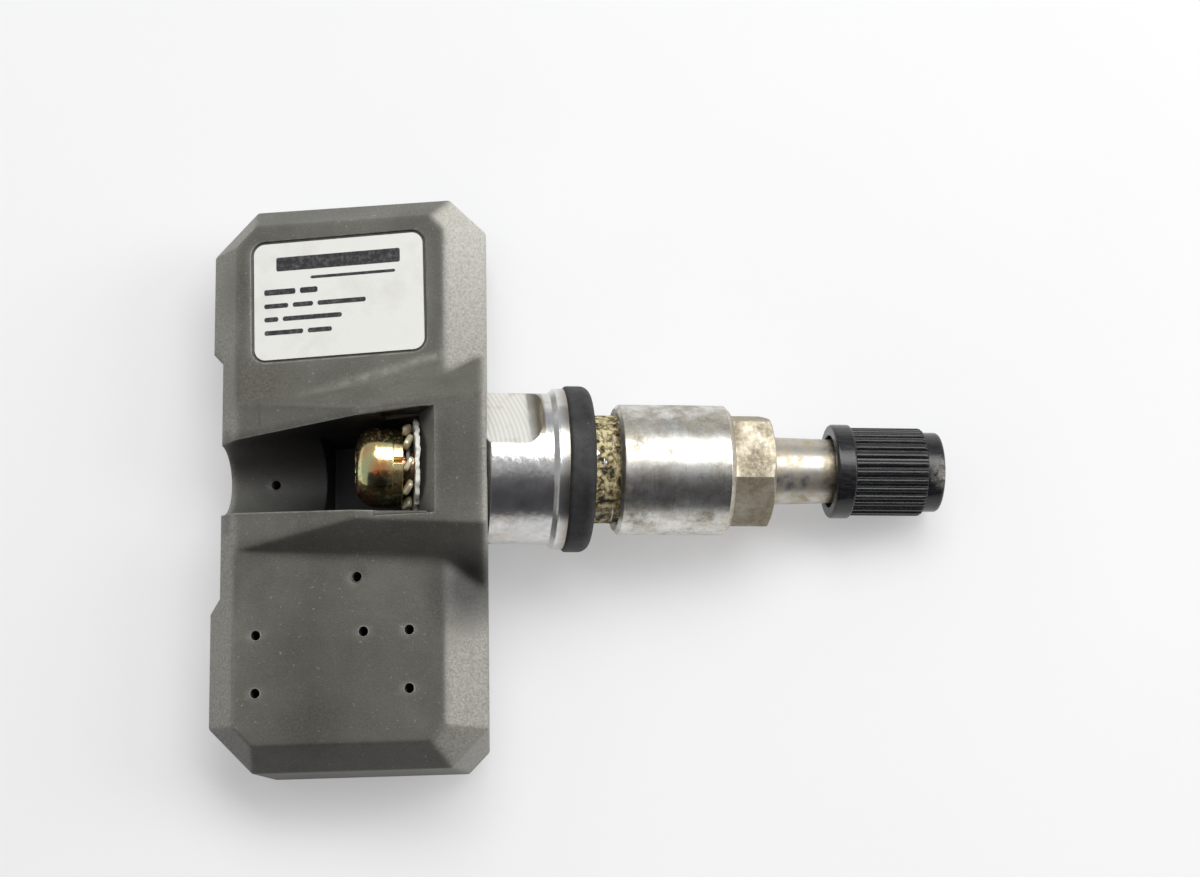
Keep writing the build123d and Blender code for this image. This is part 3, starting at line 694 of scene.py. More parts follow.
@dataclass(frozen=True)
class StemAluminium(Finish):
    """The stem's metal: polished head, milled flats whose run-out is painted dark brown as shade, and a
    tarnished nose.

    Args:
        flat_turn: turn of the first wrench flat about the stem, in degrees.
        flat_height: distance of the flats from the axis.
        flat_end: where the flats run out.
        cutter_at: x and y of the middle of the milling marks' arcs.
        marks: milling marks per millimetre, in radians.
        metal: colour of the bright metal.
        dull: colour of the dulled metal.
        tarnish: colour of the nose's tarnish.
        brown: colour of the brown stains, also used for the painted shade on the flats' run-out.
        smudge: colour of the head's smudges.
        pit: colour of the pits.
        milled: darkest and lightest colour of the milling marks.
    """

    flat_turn: float = -43.0
    flat_height: float = 6.45
    flat_end: float = 6.1
    cutter_at: tuple[float, float] = (-24.0, -5.0)
    marks: float = 13.0
    metal: Colour = (0.76, 0.755, 0.745)
    dull: Colour = (0.56, 0.555, 0.545)
    tarnish: Colour = (0.36, 0.285, 0.15)
    brown: Colour = (0.22, 0.17, 0.10)
    smudge: Colour = (0.46, 0.36, 0.24)
    pit: Colour = (0.10, 0.08, 0.05)
    milled: tuple[Colour, Colour] = ((0.78, 0.765, 0.70), (0.93, 0.92, 0.87))

    def shade(self, s: Shader, at: Socket) -> None:
        """Sets the principled shader.

        Args:
            s: the shader.
            at: its coordinates.
        """
        flat = s.local(self.frame @ Matrix.Rotation(math.radians(self.flat_turn), 4, "X"))
        along, height = s.part(at, "X"), s.part(flat, "Z")
        head, head_side = s.span(along, 7.6, 7.2), s.span(along, self.flat_end + 0.1, self.flat_end - 0.1)
        milled = s.times(s.span(s.apart(height, self.flat_height), 0.09, 0.04), head_side)
        # Painted shade, in brown, on the concave run-out at the end of the flats.
        run_out_shade = s.times(s.span(height, self.flat_height + 0.05, self.flat_height + 0.6), head_side)
        marks = s.calc("SINE", s.times(s.distance(flat, (*self.cutter_at, self.flat_height)), self.marks))
        tool = s.noise(s.stretch(at, (7.0, 0.2, 0.2)), 1.0, 4.0, 0.7)
        pits, clouds = s.noise(at, 2.8, 5.0, 0.75), s.noise(at, 0.45, 6.0, 0.72)
        nose = s.times(s.span(along, 28.5, 30.5), s.span(clouds, 0.36, 0.62, 0.15, 1.0))
        ring = s.times(s.span(along, 35.2, 36.6), s.span(pits, 0.3, 0.55))
        rim = s.times(s.span(along, 7.5, 8.3), s.span(along, 8.8, 8.5), 0.8)
        colour = s.ramp(clouds, [(0.34, self.dull), (0.6, self.metal)])
        colour = s.mix(s.times(nose, 0.85), colour, self.tarnish)
        colour = s.mix(s.times(s.calc("MAXIMUM", ring, rim), 0.8), colour, self.brown)
        # Painted shade on the run-out.
        colour = s.mix(s.times(run_out_shade, 0.75), colour, self.brown)
        colour = s.mix(s.times(milled, 0.9), colour, s.mix(s.span(marks, -1.0, 1.0), *self.milled))
        colour = s.mix(s.span(pits, 0.70, 0.75, 0.0, 0.8), colour, self.pit)
        smudges = s.span(s.noise(at, 0.38, 4.0, 0.65), 0.52, 0.70, 0.0, 0.45)
        colour = s.mix(s.times(smudges, head), colour, self.smudge)
        waves = s.times(s.noise(s.stretch(at, (1.0, 0.6, 0.6)), 0.55, 4.0, 0.6), head, 22.0)
        lines = s.times(marks, milled, 0.9)
        normal, _ = s.soft_edges(0.15)
        relief = s.plus(s.times(tool, 0.45), s.times(pits, 0.45), waves, lines)
        s.set(
            Metallic=s.span(s.calc("MAXIMUM", nose, s.times(milled, 0.8)), 0.2, 1.0, 1.0, 0.55),
            Base_Color=colour,
            Roughness=s.plus(s.span(along, 8.0, 8.6, 0.25, 0.28), s.times(milled, 0.28), s.times(nose, 0.16)),
            Normal=s.bump(relief, 0.007, normal, 0.6),
        )


@dataclass(frozen=True)
class Rubber(Finish):
    """Dull black rubber with a dusty bloom.

    Args:
        black: colour of the clean rubber.
        bloom: colour of its bloom.
        edge: colour of dusty edges.
        speck: colour of the specks.
    """

    black: Colour = (0.013, 0.013, 0.014)
    bloom: Colour = (0.048, 0.048, 0.049)
    edge: Colour = (0.085, 0.07, 0.052)
    speck: Colour = (0.32, 0.31, 0.29)

    def shade(self, s: Shader, at: Socket) -> None:
        """Sets the principled shader.

        Args:
            s: the shader.
            at: its coordinates.
        """
        grain = s.noise(at, 4.0, 3.0, 0.6)
        specks = s.span(s.noise(at, 2.1, 3.0, 0.7), 0.69, 0.75, 0.0, 0.6)
        normal, edge = s.soft_edges(0.25)
        colour = s.ramp(s.noise(at, 0.4, 5.0, 0.65), [(0.35, self.black), (0.72, self.bloom)])
        colour = s.mix(s.times(edge, 0.35), colour, self.edge)
        s.set(
            Base_Color=s.mix(specks, colour, self.speck),
            Roughness=s.span(grain, 0.3, 0.7, 0.50, 0.68),
            Specular_IOR_Level=0.35,
            Normal=s.bump(grain, 0.03, normal, 0.5),
        )


@dataclass(frozen=True)
class CapPlastic(Finish):
    """Black cap plastic, shiny on the ribs, with a scuffed end.

    Args:
        scuff_at: middle of the scuff, in the stem's frame.
        scuff_reach: radius of the scuff in millimetres.
        black: colour of the clean plastic.
        worn: colour of the worn plastic.
        scuff: colour of the scuff.
        edge: colour of worn edges.
        speck: colour of the specks.
    """

    scuff_at: Point = (48.5, -0.9, 3.9)
    scuff_reach: float = 1.9
    black: Colour = (0.008, 0.008, 0.009)
    worn: Colour = (0.026, 0.026, 0.027)
    scuff: Colour = (0.34, 0.32, 0.28)
    edge: Colour = (0.07, 0.07, 0.07)
    speck: Colour = (0.3, 0.29, 0.27)

    def shade(self, s: Shader, at: Socket) -> None:
        """Sets the principled shader.

        Args:
            s: the shader.
            at: its coordinates.
        """
        grain = s.noise(s.stretch(at, (0.35, 1.6, 1.6)), 2.2, 4.0, 0.65)
        specks = s.span(s.noise(at, 3.2, 3.0, 0.7), 0.70, 0.76, 0.0, 0.5)
        normal, edge = s.soft_edges(0.12)
        torn = s.span(s.noise(at, 1.7, 5.0, 0.75), 0.40, 0.60)
        scuffed = s.times(s.near(at, self.scuff_at, self.scuff_reach), torn)
        colour = s.ramp(grain, [(0.4, self.black), (0.75, self.worn)])
        colour = s.mix(s.times(edge, 0.2), colour, self.edge)
        colour = s.mix(specks, colour, self.speck)
        s.set(
            Base_Color=s.mix(scuffed, colour, self.scuff),
            Roughness=s.plus(s.span(grain, 0.3, 0.7, 0.17, 0.34), s.times(scuffed, 0.35)),
            Specular_IOR_Level=0.5,
            Normal=s.bump(s.plus(s.times(grain, 0.3), scuffed), 0.05, normal, 0.6),
        )


@dataclass(frozen=True)
class YellowZinc(Finish):
    """Yellow-passivated zinc plate, with green and rose tints and brown dirt; it can carry painted reflections
    and a core painted black as shade.

    Args:
        gold: main tint.
        green: greenish tint.
        rose: reddish tint.
        dirt: colour of the dirt.
        core_shade: colour of the shade painted on the core.
        dirty: strength of the dirt.
        metallic: 1 where the plate is bright, less where it is chalky.
        shaded_core: radius from the stem's axis inside which it is painted black as shade.
        painted_reflections: place, reach and colour of painted reflections.
    """

    gold: Colour = (0.78, 0.63, 0.30)
    green: Colour = (0.62, 0.66, 0.36)
    rose: Colour = (0.70, 0.36, 0.20)
    dirt: Colour = (0.09, 0.06, 0.035)
    core_shade: Colour = (0.006, 0.005, 0.004)
    dirty: float = 0.35
    metallic: float = 1.0
    shaded_core: float = 0.0
    painted_reflections: tuple[tuple[Point, float, Colour], ...] = ()

    def shade(self, s: Shader, at: Socket) -> None:
        """Sets the principled shader.

        Args:
            s: the shader.
            at: its coordinates.
        """
        tints = [(0.36, self.green), (0.50, self.gold), (0.66, self.rose)]
        fine = s.noise(at, 2.4, 5.0, 0.7)
        darkening = s.span(fine, 0.52, 0.70, 0.0, self.dirty)
        normal, _ = s.soft_edges(0.15)
        # Inside shaded_core the plate is painted near black and less metallic, as shade.
        radius = s.distance(s.stretch(at, (0.0, 1.0, 1.0)), (0.0, 0.0, 0.0))
        core = s.span(radius, self.shaded_core + 0.35, self.shaded_core, 0.0, 0.97)
        colour = s.mix(darkening, s.ramp(s.noise(at, 0.34, 3.0, 0.5), tints), self.dirt)
        # Painted reflections: spots coloured like the surroundings that the plate mirrors.
        for spot, reach, tone in self.painted_reflections:
            colour = s.mix(s.times(s.near(at, spot, reach), 0.85), colour, tone)
        s.set(
            Metallic=s.times(s.span(darkening, 0.0, 1.0, self.metallic, 0.4), s.span(core, 0.0, 1.0, 1.0, 0.3)),
            Base_Color=s.mix(core, colour, self.core_shade),
            Roughness=s.plus(s.span(fine, 0.3, 0.7, 0.13, 0.24), s.times(darkening, 0.3)),
            Normal=s.bump(fine, 0.012, normal, 0.4),
        )


@dataclass(frozen=True)
class Speckled(Finish):
    """Matt or metallic stuff whose colour wanders between three tones.

    Args:
        tones: dark, middle and light colour.
        scale: size of the pattern, per millimetre.
        rough: lowest and highest roughness.
        metallic: 1 for metal.
        depth: height of the grain in millimetres.
        spread: how far the dark and light tones lie from the middle of the pattern.
    """

    tones: tuple[Colour, Colour, Colour]
    scale: float = 1.0
    rough: tuple[float, float] = (0.4, 0.6)
    metallic: float = 0.0
    depth: float = 0.02
    spread: float = 0.16

    def shade(self, s: Shader, at: Socket) -> None:
        """Sets the principled shader.

        Args:
            s: the shader.
            at: its coordinates.
        """
        fine = s.noise(at, self.scale * 5.0, 3.0, 0.6)
        places = (0.5 - self.spread, 0.5, 0.5 + self.spread)
        s.set(
            Metallic=self.metallic,
            Base_Color=s.ramp(s.noise(at, self.scale, 4.0, 0.65), list(zip(places, self.tones))),
            Roughness=s.span(fine, 0.3, 0.7, *self.rough),
            Normal=s.bump(fine, self.depth, strength=0.5),
        )


def flats(mesh: Mesh) -> tuple[list[int], list[float]]:
    """Groups a mesh's faces into connected flats.

    Args:
        mesh: the mesh.

    Returns:
        Each face's flat, and each flat's area in square metres.
    """
    beside: dict[tuple[int, int], list[int]] = {}
    faces = mesh.polygons
    for face in faces:
        for edge in face.edge_keys:
            beside.setdefault(edge, []).append(face.index)
    flat_of, areas = [-1] * len(faces), []
    for start in faces:
        if flat_of[start.index] >= 0:
            continue
        flat_of[start.index] = len(areas)
        queue, area = [start.index], 0.0
        while queue:
            face = faces[queue.pop()]
            area += face.area
            for other in (index for edge in face.edge_keys for index in beside[edge]):
                if flat_of[other] < 0 and faces[other].normal.dot(start.normal) > FLAT_COSINE:
                    flat_of[other] = len(areas)
                    queue.append(other)
        areas.append(area)
    return flat_of, areas


def circle(bm: BMesh, x: float, radii: list[float]) -> list[bmesh.types.BMVert]:
    """Ring of vertices about the x axis, one for each radius."""
    turns = [FULL_TURN * k / len(radii) for k in range(len(radii))]
    return [bm.verts.new((x, r * math.cos(a), r * math.sin(a))) for r, a in zip(radii, turns)]


def skin(bm: BMesh, rings: list[list[bmesh.types.BMVert]]) -> None:
    """Joins neighbouring rings of vertices by faces.

    Args:
        bm: the mesh.
        rings: the rings, with as many vertices each.
    """
    for first, second in zip(rings, rings[1:]):
        for k in range(len(first)):
            n = (k + 1) % len(first)
            bm.faces.new((first[k], first[n], second[n], second[k]))


def off_axis(vertex: bmesh.types.BMVert) -> float:
    """A vertex's distance from the x axis."""
    return math.hypot(vertex.co.y, vertex.co.z)


def widen(vertex: bmesh.types.BMVert, share: float) -> None:
    """Scales a vertex's distance from the x axis."""
    vertex.co.y *= share
    vertex.co.z *= share


def lathe(profile: Profile, segments: int) -> BMesh:
    """Surface of revolution about x.

    Args:
        profile: points of x and radius, in millimetres, as a closed loop.
        segments: steps round the axis.

    Returns:
        The mesh, in the profile's own frame.
    """
    bm = bmesh.new()
    rings = [circle(bm, x, [radius] * segments) for x, radius in profile]
    skin(bm, [*rings, rings[0]])
    bmesh.ops.remove_doubles(bm, verts=bm.verts, dist=1e-5)
    bmesh.ops.recalc_face_normals(bm, faces=bm.faces)
    return bm


def rounded(corners: list[Point], steps: int = 4) -> Profile:
    """Profile with each corner rounded by its own radius.

    Args:
        corners: x, radius and rounding of each corner, as a closed loop.
        steps: points added on each arc.

    Returns:
        The profile's points.
    """
    points: Profile = []
    for k, (x, r, size) in enumerate(corners):
        here = Vector((x, r))
        if size <= 0:
            points.append((x, r))
            continue
        before = (Vector(corners[k - 1][:2]) - here).normalized()
        after = (Vector(corners[(k + 1) % len(corners)][:2]) - here).normalized()
        for t in (step / steps for step in range(steps + 1)):
            points.append(tuple(here + before * size * (1 - t) ** 2 + after * size * t**2))
    return points


def plain_mesh(name: str, bm: BMesh) -> Mesh:
    """Mesh data from a bmesh.

    Args:
        name: its name.
        bm: the bmesh; it is freed.

    Returns:
        The mesh data.
    """
    mesh = bpy.data.meshes.new(name)
    bm.to_mesh(mesh)
    bm.free()
    return mesh


def place(name: str, data: bpy.types.ID) -> Object:
    """Puts a new object into the scene.

    Args:
        name: its name.
        data: its mesh, lamp or camera.

    Returns:
        The object.
    """
    made = bpy.data.objects.new(name, data)
    bpy.context.scene.collection.objects.link(made)
    return made


class NodeTree:
    """Geometry node groups that repeat a small piece."""

    @classmethod
    def _start(
        cls, name: str, inputs: dict[str, str], kinds: dict[str, str]
    ) -> tuple[bpy.types.NodeTree, dict]:
        """New group that sets a piece on points and paints it; its points and what is painted are open.

        Args:
            name: the group's name.
            inputs: kinds of its inputs besides Geometry, Piece and Finish, by name.
            kinds: types of its further nodes by name.

        Returns:
            The group and its nodes by name.
        """
        tree = bpy.data.node_groups.new(name, "GeometryNodeTree")
        tree.is_modifier = True
        tree.interface.new_socket("Geometry", in_out="OUTPUT", socket_type="NodeSocketGeometry")
        given = {"Geometry": "Geometry", "Piece": "Object", **inputs, "Finish": "Material"}
        for key, kind in given.items():
            tree.interface.new_socket(key, in_out="INPUT", socket_type="NodeSocket" + kind)
        shared = {
            "given": "NodeGroupInput",
            "piece": "GeometryNodeObjectInfo",
            "place": "GeometryNodeInstanceOnPoints",
            "real": "GeometryNodeRealizeInstances",
            "paint": "GeometryNodeSetMaterial",
            "made": "NodeGroupOutput",
        }
        nodes = {key: tree.nodes.new(kind) for key, kind in {**shared, **kinds}.items()}
        cls._link(tree, nodes, [
            ("given", "Piece", "piece", "Object"),
            ("piece", "Geometry", "place", "Instance"),
            ("place", 0, "real", 0),
            ("given", "Finish", "paint", "Material"),
            ("paint", 0, "made", 0),
        ])
        return tree, nodes

    @staticmethod
    def _link(tree: bpy.types.NodeTree, nodes: dict, links: list[tuple]) -> None:
        """Joins nodes.

        Args:
            tree: the group.
            nodes: its nodes by name.
            links: node and output, then node and input, of each link.
        """
        for source, output, target, into in links:
            tree.links.new(nodes[source].outputs[output], nodes[target].inputs[into])

    @classmethod
    def ring(cls) -> bpy.types.NodeTree:
        """Group that sets copies of a piece round the x axis.

        Returns:
            The group, with inputs Piece, Count, Phase and Finish.
        """
        tree, nodes = cls._start("ring_of_pieces", {"Count": "Int", "Phase": "Float"}, {
            "points": "GeometryNodePoints",
            "index": "GeometryNodeInputIndex",
            "step": "ShaderNodeMath",
            "turn": "ShaderNodeMath",
            "shift": "ShaderNodeMath",
            "spin": "ShaderNodeCombineXYZ",
            "merge": "GeometryNodeJoinGeometry",
        })
        for name, operation in (("step", "DIVIDE"), ("turn", "MULTIPLY"), ("shift", "ADD")):
            nodes[name].operation = operation
        nodes["step"].inputs[0].default_value = FULL_TURN
        cls._link(tree, nodes, [
            ("given", "Count", "points", "Count"),
            ("given", "Count", "step", 1),
            ("index", 0, "turn", 0),
            ("step", 0, "turn", 1),
            ("turn", 0, "shift", 0),
            ("given", "Phase", "shift", 1),
            ("shift", 0, "spin", "X"),
            ("points", 0, "place", "Points"),
            ("spin", 0, "place", "Rotation"),
            ("real", 0, "merge", 0),
            ("given", "Geometry", "merge", 0),
            ("merge", 0, "paint", "Geometry"),
        ])
        return tree

    @classmethod
    def scatter(cls) -> bpy.types.NodeTree:
        """Group that sets a piece on each vertex, sized and turned by attributes.

        Returns:
            The group, with inputs Piece and Finish; size and spin are read from the vertices.
        """
        read = ("size", "spin")
        tree, nodes = cls._start("pieces_on_points", {}, dict.fromkeys(read, "GeometryNodeInputNamedAttribute"))
        for name in read:
            nodes[name].data_type = "FLOAT_VECTOR"
            nodes[name].inputs["Name"].default_value = name
        cls._link(tree, nodes, [
            ("given", "Geometry", "place", "Points"),
            ("size", "Attribute", "place", "Scale"),
            ("spin", "Attribute", "place", "Rotation"),
            ("real", 0, "paint", "Geometry"),
        ])
        return tree


class Workshop:
    """Makes finished pieces in the row frame and puts them on their bodies."""

    def __init__(self, nodes: dict, frames: Frames) -> None:
        """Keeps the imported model's nodes and frames.

        Args:
            nodes: CAD objects by name.
            frames: the housing's and the stem's frames.
        """
        self.nodes = nodes
        self.frames = frames
        self.rings = NodeTree.ring()
        self.scatters = NodeTree.scatter()

    def matrix(self, axis: Axis) -> Matrix:
        """The frame for a mesh."""
        return self.frames.stem if axis is Axis.STEM else self.frames.housing

    @staticmethod
    def points(spots: list[tuple[Point, Point, Point]]) -> Object:
        """Tool object whose vertices carry a size and a spin for the scatter group.

        Args:
            spots: place, size and spin of each vertex.

        Returns:
            The object.
        """
        bm = bmesh.new()
        size, spin = (bm.verts.layers.float_vector.new(name) for name in ("size", "spin"))
        for at, scale, turn in spots:
            vertex = bm.verts.new(at)
            vertex[size], vertex[spin] = Vector(scale), Vector(turn)
        return place("points", plain_mesh("points", bm))

    @staticmethod
    def evaluate(carrier: Object, tree: bpy.types.NodeTree, piece: BMesh, **values) -> BMesh:
        """Runs a node group on a carrier; both tools are removed.

        Args:
            carrier: the object that carries the modifier.
            tree: the group.
            piece: the small piece that is repeated.
            values: the group's other inputs by name.

        Returns:
            The realized mesh.
        """
        small = place("piece", plain_mesh("piece", piece))
        modifier = carrier.modifiers.new("repeat", "NODES")
        modifier.node_group = tree
        values["Piece"] = small
        for item in tree.interface.items_tree:
            if item.in_out == "INPUT" and item.name in values:
                modifier[item.identifier] = values[item.name]
        graph = bpy.context.evaluated_depsgraph_get()
        mesh = bpy.data.meshes.new_from_object(carrier.evaluated_get(graph))
        bm = bmesh.new()
        bm.from_mesh(mesh)
        carrier.modifiers.remove(modifier)
        for tool in (carrier, small):
            data = tool.data
            bpy.data.objects.remove(tool)
            bpy.data.meshes.remove(data)
        bpy.data.meshes.remove(mesh)
        return bm

    def finish(
        self,
        name: str,
        bm: BMesh,
        axis: Axis,
        material: Material,
        body: Body,
        slot: str,
        replaces: tuple[str, ...] = (),
        angle: float = 32.0,
    ) -> Object:
        """Turns a mesh in millimetres into a piece of the object.

        Args:
            name: the piece's name.
            bm: the mesh, in the frame named by axis; it is freed.
            axis: that frame.
            material: the piece's finish.
            body: the body it rides on.
            slot: the record's material slot; not used.
            replaces: CAD nodes that it stands for.
            angle: edges sharper than this, in degrees, stay sharp.

        Returns:
            The piece.
        """
        bm.transform(self.matrix(axis))
        mesh = plain_mesh(name, bm)
        mesh.materials.clear()
        mesh.materials.append(material)
        mesh.shade_smooth()
        mesh.set_sharp_from_angle(angle=math.radians(angle))
        self._flatten_normals(mesh, angle)
        made = place(name, mesh)
        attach(made, body.value)
        if replaces:
            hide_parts(*replaces)
        log.info("%s: %d faces on %s", name, len(made.data.polygons), body.value)
        return made

    @staticmethod
    def _flatten_normals(mesh: Mesh, angle: float, wide: float = 25e-6) -> None:
        """Weights corner normals by whole flats, so that these stay flat beside small roundings.

        Args:
            mesh: the mesh to shade.
            angle: faces that meet at more than this, in degrees, keep their own normals.
            wide: area from which two flats are never blended, in square metres.
        """
        flat_of, areas = flats(mesh)
        faces = mesh.polygons
        around: list[list[int]] = [[] for _ in mesh.vertices]
        for face in faces:
            for vertex in face.vertices:
                around[vertex].append(face.index)
        turned = [face.normal.copy() for face in faces]
        limit = math.cos(math.radians(angle))
        corners = [UP] * len(mesh.loops)
        for face in faces:
            own = flat_of[face.index]
            for corner, vertex in zip(face.loop_indices, face.vertices):
                blend = {own: turned[face.index]}
                for other in around[vertex]:
                    group = flat_of[other]
                    apart = min(areas[group], areas[own]) > wide and group != own
                    if not apart and turned[other].dot(turned[face.index]) > limit:
                        blend[group] = turned[other]
                total = sum((normal * areas[group] for group, normal in blend.items()), Vector())
                corners[corner] = total.normalized()
        mesh.normals_split_custom_set(corners)

    def merged(self, node: str, axis: Axis) -> BMesh:
        """A CAD node's mesh with its loose triangles joined.

        Args:
            node: the node's name.
            axis: the frame that the mesh is taken into.

        Returns:
            The mesh.
        """
        bm = bmesh.new()
        bm.from_mesh(self.nodes[node].data)
        bmesh.ops.remove_doubles(bm, verts=bm.verts, dist=JOIN_GAP)
        bm.transform(self.matrix(axis).inverted())
        for layer in list(bm.loops.layers.float_vector):
            bm.loops.layers.float_vector.remove(layer)
        return bm

    def dress(self, node: str, axis: Axis, material: Material, body: Body, angle: float) -> None:
        """Shows a CAD node by a joined, smoothly shaded copy of itself."""
        self.finish(node + "_shape", self.merged(node, axis), axis, material, body, node, (node,), angle)

    def paint(self, node: str, material: Material) -> None:
        """Gives a CAD node a finish and leaves its shape.

        Args:
            node: the node's name.
            material: its finish.
        """
        data = self.nodes[node].data
        data.materials.clear()
        data.materials.append(material)
        log.info("%s: painted %s", node, material.name)


@dataclass(frozen=True)
class Thread:
    """One thread about the stem's axis, in millimetres.

    Args:
        start: first x.
        end: last x.
        radius: crest radius.
        depth: depth of the groove.
        pitch: travel per turn.
        wall: thickness of its sleeve under the groove.
        flanks: height and slope of the groove's flanks, as shares of its depth.
    """

    start: float
    end: float
    radius: float
    depth: float
    pitch: float
    wall: float = 0.1
    flanks: tuple[float, float] = (1.35, 2.9)

    @property
    def root(self) -> float:
        """Radius of the sleeve's inside."""
        return self.radius - self.depth - self.wall

    def sleeve(self, segments: int = 96, rows_per_turn: int = 12) -> BMesh:
        """Threaded sleeve, closed inwards at both ends.

        Args:
            segments: steps round the axis.
            rows_per_turn: steps along each turn.

        Returns:
            The sleeve's mesh.
        """
        rows = int((self.end - self.start) / self.pitch * rows_per_turn)
        top, slope = self.flanks
        bm = bmesh.new()
        rings = []
        for row in range(rows + 1):
            x = self.start + (self.end - self.start) * row / rows
            fade = min(1.0, (x - self.start) / self.pitch, (self.end - x) / self.pitch)
            radii = []
            for k in range(segments):
                phase = (x / self.pitch - k / segments) % 1.0
                groove = min(1.0, max(0.0, top - slope * abs(phase - 0.5)))
                radii.append(self.radius - self.depth * fade * groove)
            rings.append(circle(bm, x, radii))
        first, last = (circle(bm, x, [self.root] * segments) for x in (self.start, self.end))
        skin(bm, [first, *rings, last])
        bmesh.ops.recalc_face_normals(bm, faces=bm.faces)
        return bm


@dataclass
class ValveStem:
    """Turned stem with real threads on its neck and mouth.

    Args:
        shop: makes the pieces.
        metal: the stem's finish.
        crust: finish of the dirt in the thread.
        neck: the neck's thread.
        mouth: the valve mouth's thread.
        gap: where the rim gap starts and ends.
        grains: how many grains of dirt lie in the rim gap.
        grain_sizes: smallest and largest radius of a grain.
        grain_stretch: least and greatest stretch of a grain along the stem.
        grain_sunk: how far the grains lie below the thread's crest.
        seed: seed of the grains' places.
        pebble: a grain's size, its lumps and their scale, as shares of its radius.
        pebble_at: where the lumps' noise is taken.
        ends: how far before and beyond a thread the stem is drawn in.
        near: how close to a crest a vertex counts as on it.
        under: how far the stem lies below its threads' grooves.
        lumps: height and scale of the crust's lumps.
        lump_stretch: scale of the lumps along each axis.
        crust_heights: how far the crust starts below the crest, is lifted, and may stand proud.
    """

    shop: Workshop
    metal: Material
    crust: Material
    neck: Thread = Thread(8.62, 22.0, 5.6, 0.5, 1.0)
    mouth: Thread = Thread(37.7, 45.2, 3.75, 0.36, 0.794)
    gap: tuple[float, float] = (11.3, 14.3)
    grains: int = 1500
    grain_sizes: tuple[float, float] = (0.10, 0.24)
    grain_stretch: tuple[float, float] = (0.8, 1.3)
    grain_sunk: float = 0.01
    seed: int = 11
    pebble: Point = (0.82, 0.36, 1.7)
    pebble_at: Point = (3.1, 0.4, 7.7)
    ends: tuple[float, float] = (0.1, 0.12)
    near: float = 0.03
    under: float = 0.05
    lumps: tuple[tuple[float, float], ...] = ((0.30, 1.3), (0.16, 3.1))
    lump_stretch: Point = (0.9, 1.5, 1.5)
    crust_heights: Point = (0.02, 0.06, 0.03)

    def _slimmed(self) -> BMesh:
        """The stem, drawn in under its threads.

        Returns:
            The mesh.
        """
        bm = self.shop.merged("valve_stem", Axis.STEM)
        everything = [*bm.verts, *bm.edges, *bm.faces]
        bmesh.ops.bisect_plane(bm, geom=everything, plane_co=(self.mouth.start, 0, 0), plane_no=ALONG)
        before, beyond = self.ends
        for vertex in bm.verts:
            across = off_axis(vertex)
            for thread in (self.neck, self.mouth):
                inside = thread.start - before < vertex.co.x < thread.end + beyond
                if inside and abs(across - thread.radius) < self.near:
                    widen(vertex, (thread.radius - thread.depth - self.under) / across)
        return bm

    def _crust(self, steps: int = 22, segments: int = 150) -> BMesh:
        """Lumpy layer of dirt that fills the thread in the rim gap.

        Args:
            steps: steps along the gap.
            segments: steps round the axis.

        Returns:
            The mesh.
        """
        low, high = self.gap
        crest, root = self.neck.radius, self.neck.root
        sunk, lift, proud = self.crust_heights
        top = [(low + (high - low) * k / steps, crest - sunk) for k in range(steps + 1)]
        bm = lathe([(low, root), *top, (high, root)], segments)
        for vertex in bm.verts:
            across = off_axis(vertex)
            if across < (root + crest) / 2:
                continue
            spot = vertex.co * Vector(self.lump_stretch)
            lumps = sum(height * noise.noise(spot * scale) for height, scale in self.lumps)
            widen(vertex, min(crest + proud, across + lumps + lift) / across)
        return bm

    def _grains(self) -> BMesh:
        """Loose grains of dirt in the rim gap.

        Returns:
            The mesh.
        """
        rng = random.Random(self.seed)
        spots = []
        for _ in range(self.grains):
            x = rng.uniform(*self.gap)
            a = rng.uniform(0, FULL_TURN)
            grain = rng.uniform(*self.grain_sizes)
            deeper = rng.random() * max(0.0, self.neck.depth - grain)
            r = self.neck.radius - grain - self.grain_sunk - deeper
            at = (x, r * math.cos(a), r * math.sin(a))
            spots.append((at, (grain * rng.uniform(*self.grain_stretch), grain, grain), (a, 0.0, 0.0)))
        ball = bmesh.new()
        bmesh.ops.create_icosphere(ball, subdivisions=1, radius=1.0)
        size, lumps, scale = self.pebble
        for vertex in ball.verts:
            vertex.co *= size + lumps * noise.noise(vertex.co * scale + Vector(self.pebble_at))
        return self.shop.evaluate(self.shop.points(spots), self.shop.scatters, ball, Finish=self.crust)

    def build(self) -> None:
        """Makes the stem, its threads and the dirt in the rim gap."""
        shop, slot = self.shop, "valve_stem"
        shop.finish("stem_body", self._slimmed(), Axis.STEM, self.metal, Body.SENSOR, slot, (slot,), 28.0)
        for name, thread in (("stem_thread", self.neck), ("mouth_thread", self.mouth)):
            shop.finish(name, thread.sleeve(), Axis.STEM, self.metal, Body.SENSOR, slot, (), 50.0)
        for name, dirt in (("thread_crust", self._crust()), ("thread_dirt", self._grains())):
            shop.finish(name, dirt, Axis.STEM, self.crust, Body.SENSOR, slot, (), 60.0)


@dataclass
class ValveCore:
    """The core's spring, shown at rest; nothing makes it shorten as its pin is pressed.

    Args:
        shop: makes the pieces.
        wire: the spring's finish.
        seat: where the spring stands along the stem; not used.
        length: its length at rest; not used.
        travel: how far the pin is pressed; not used.
    """

    shop: Workshop
    wire: Material
    seat: float = 35.25
    length: float = 4.7
    travel: float = 1.5

    def build(self) -> None:
        """Makes the spring from its CAD node and gives it a mesh of its own; its length is not tied to the pin.
        """
        shop, stem, node = self.shop, self.shop.frames.stem, "core_spring"
        coil = shop.merged(node, Axis.STEM)
        spring = shop.finish("spring_coil", coil, Axis.STEM, self.wire, Body.SENSOR, node, (node,), 40.0)
        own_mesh(spring)


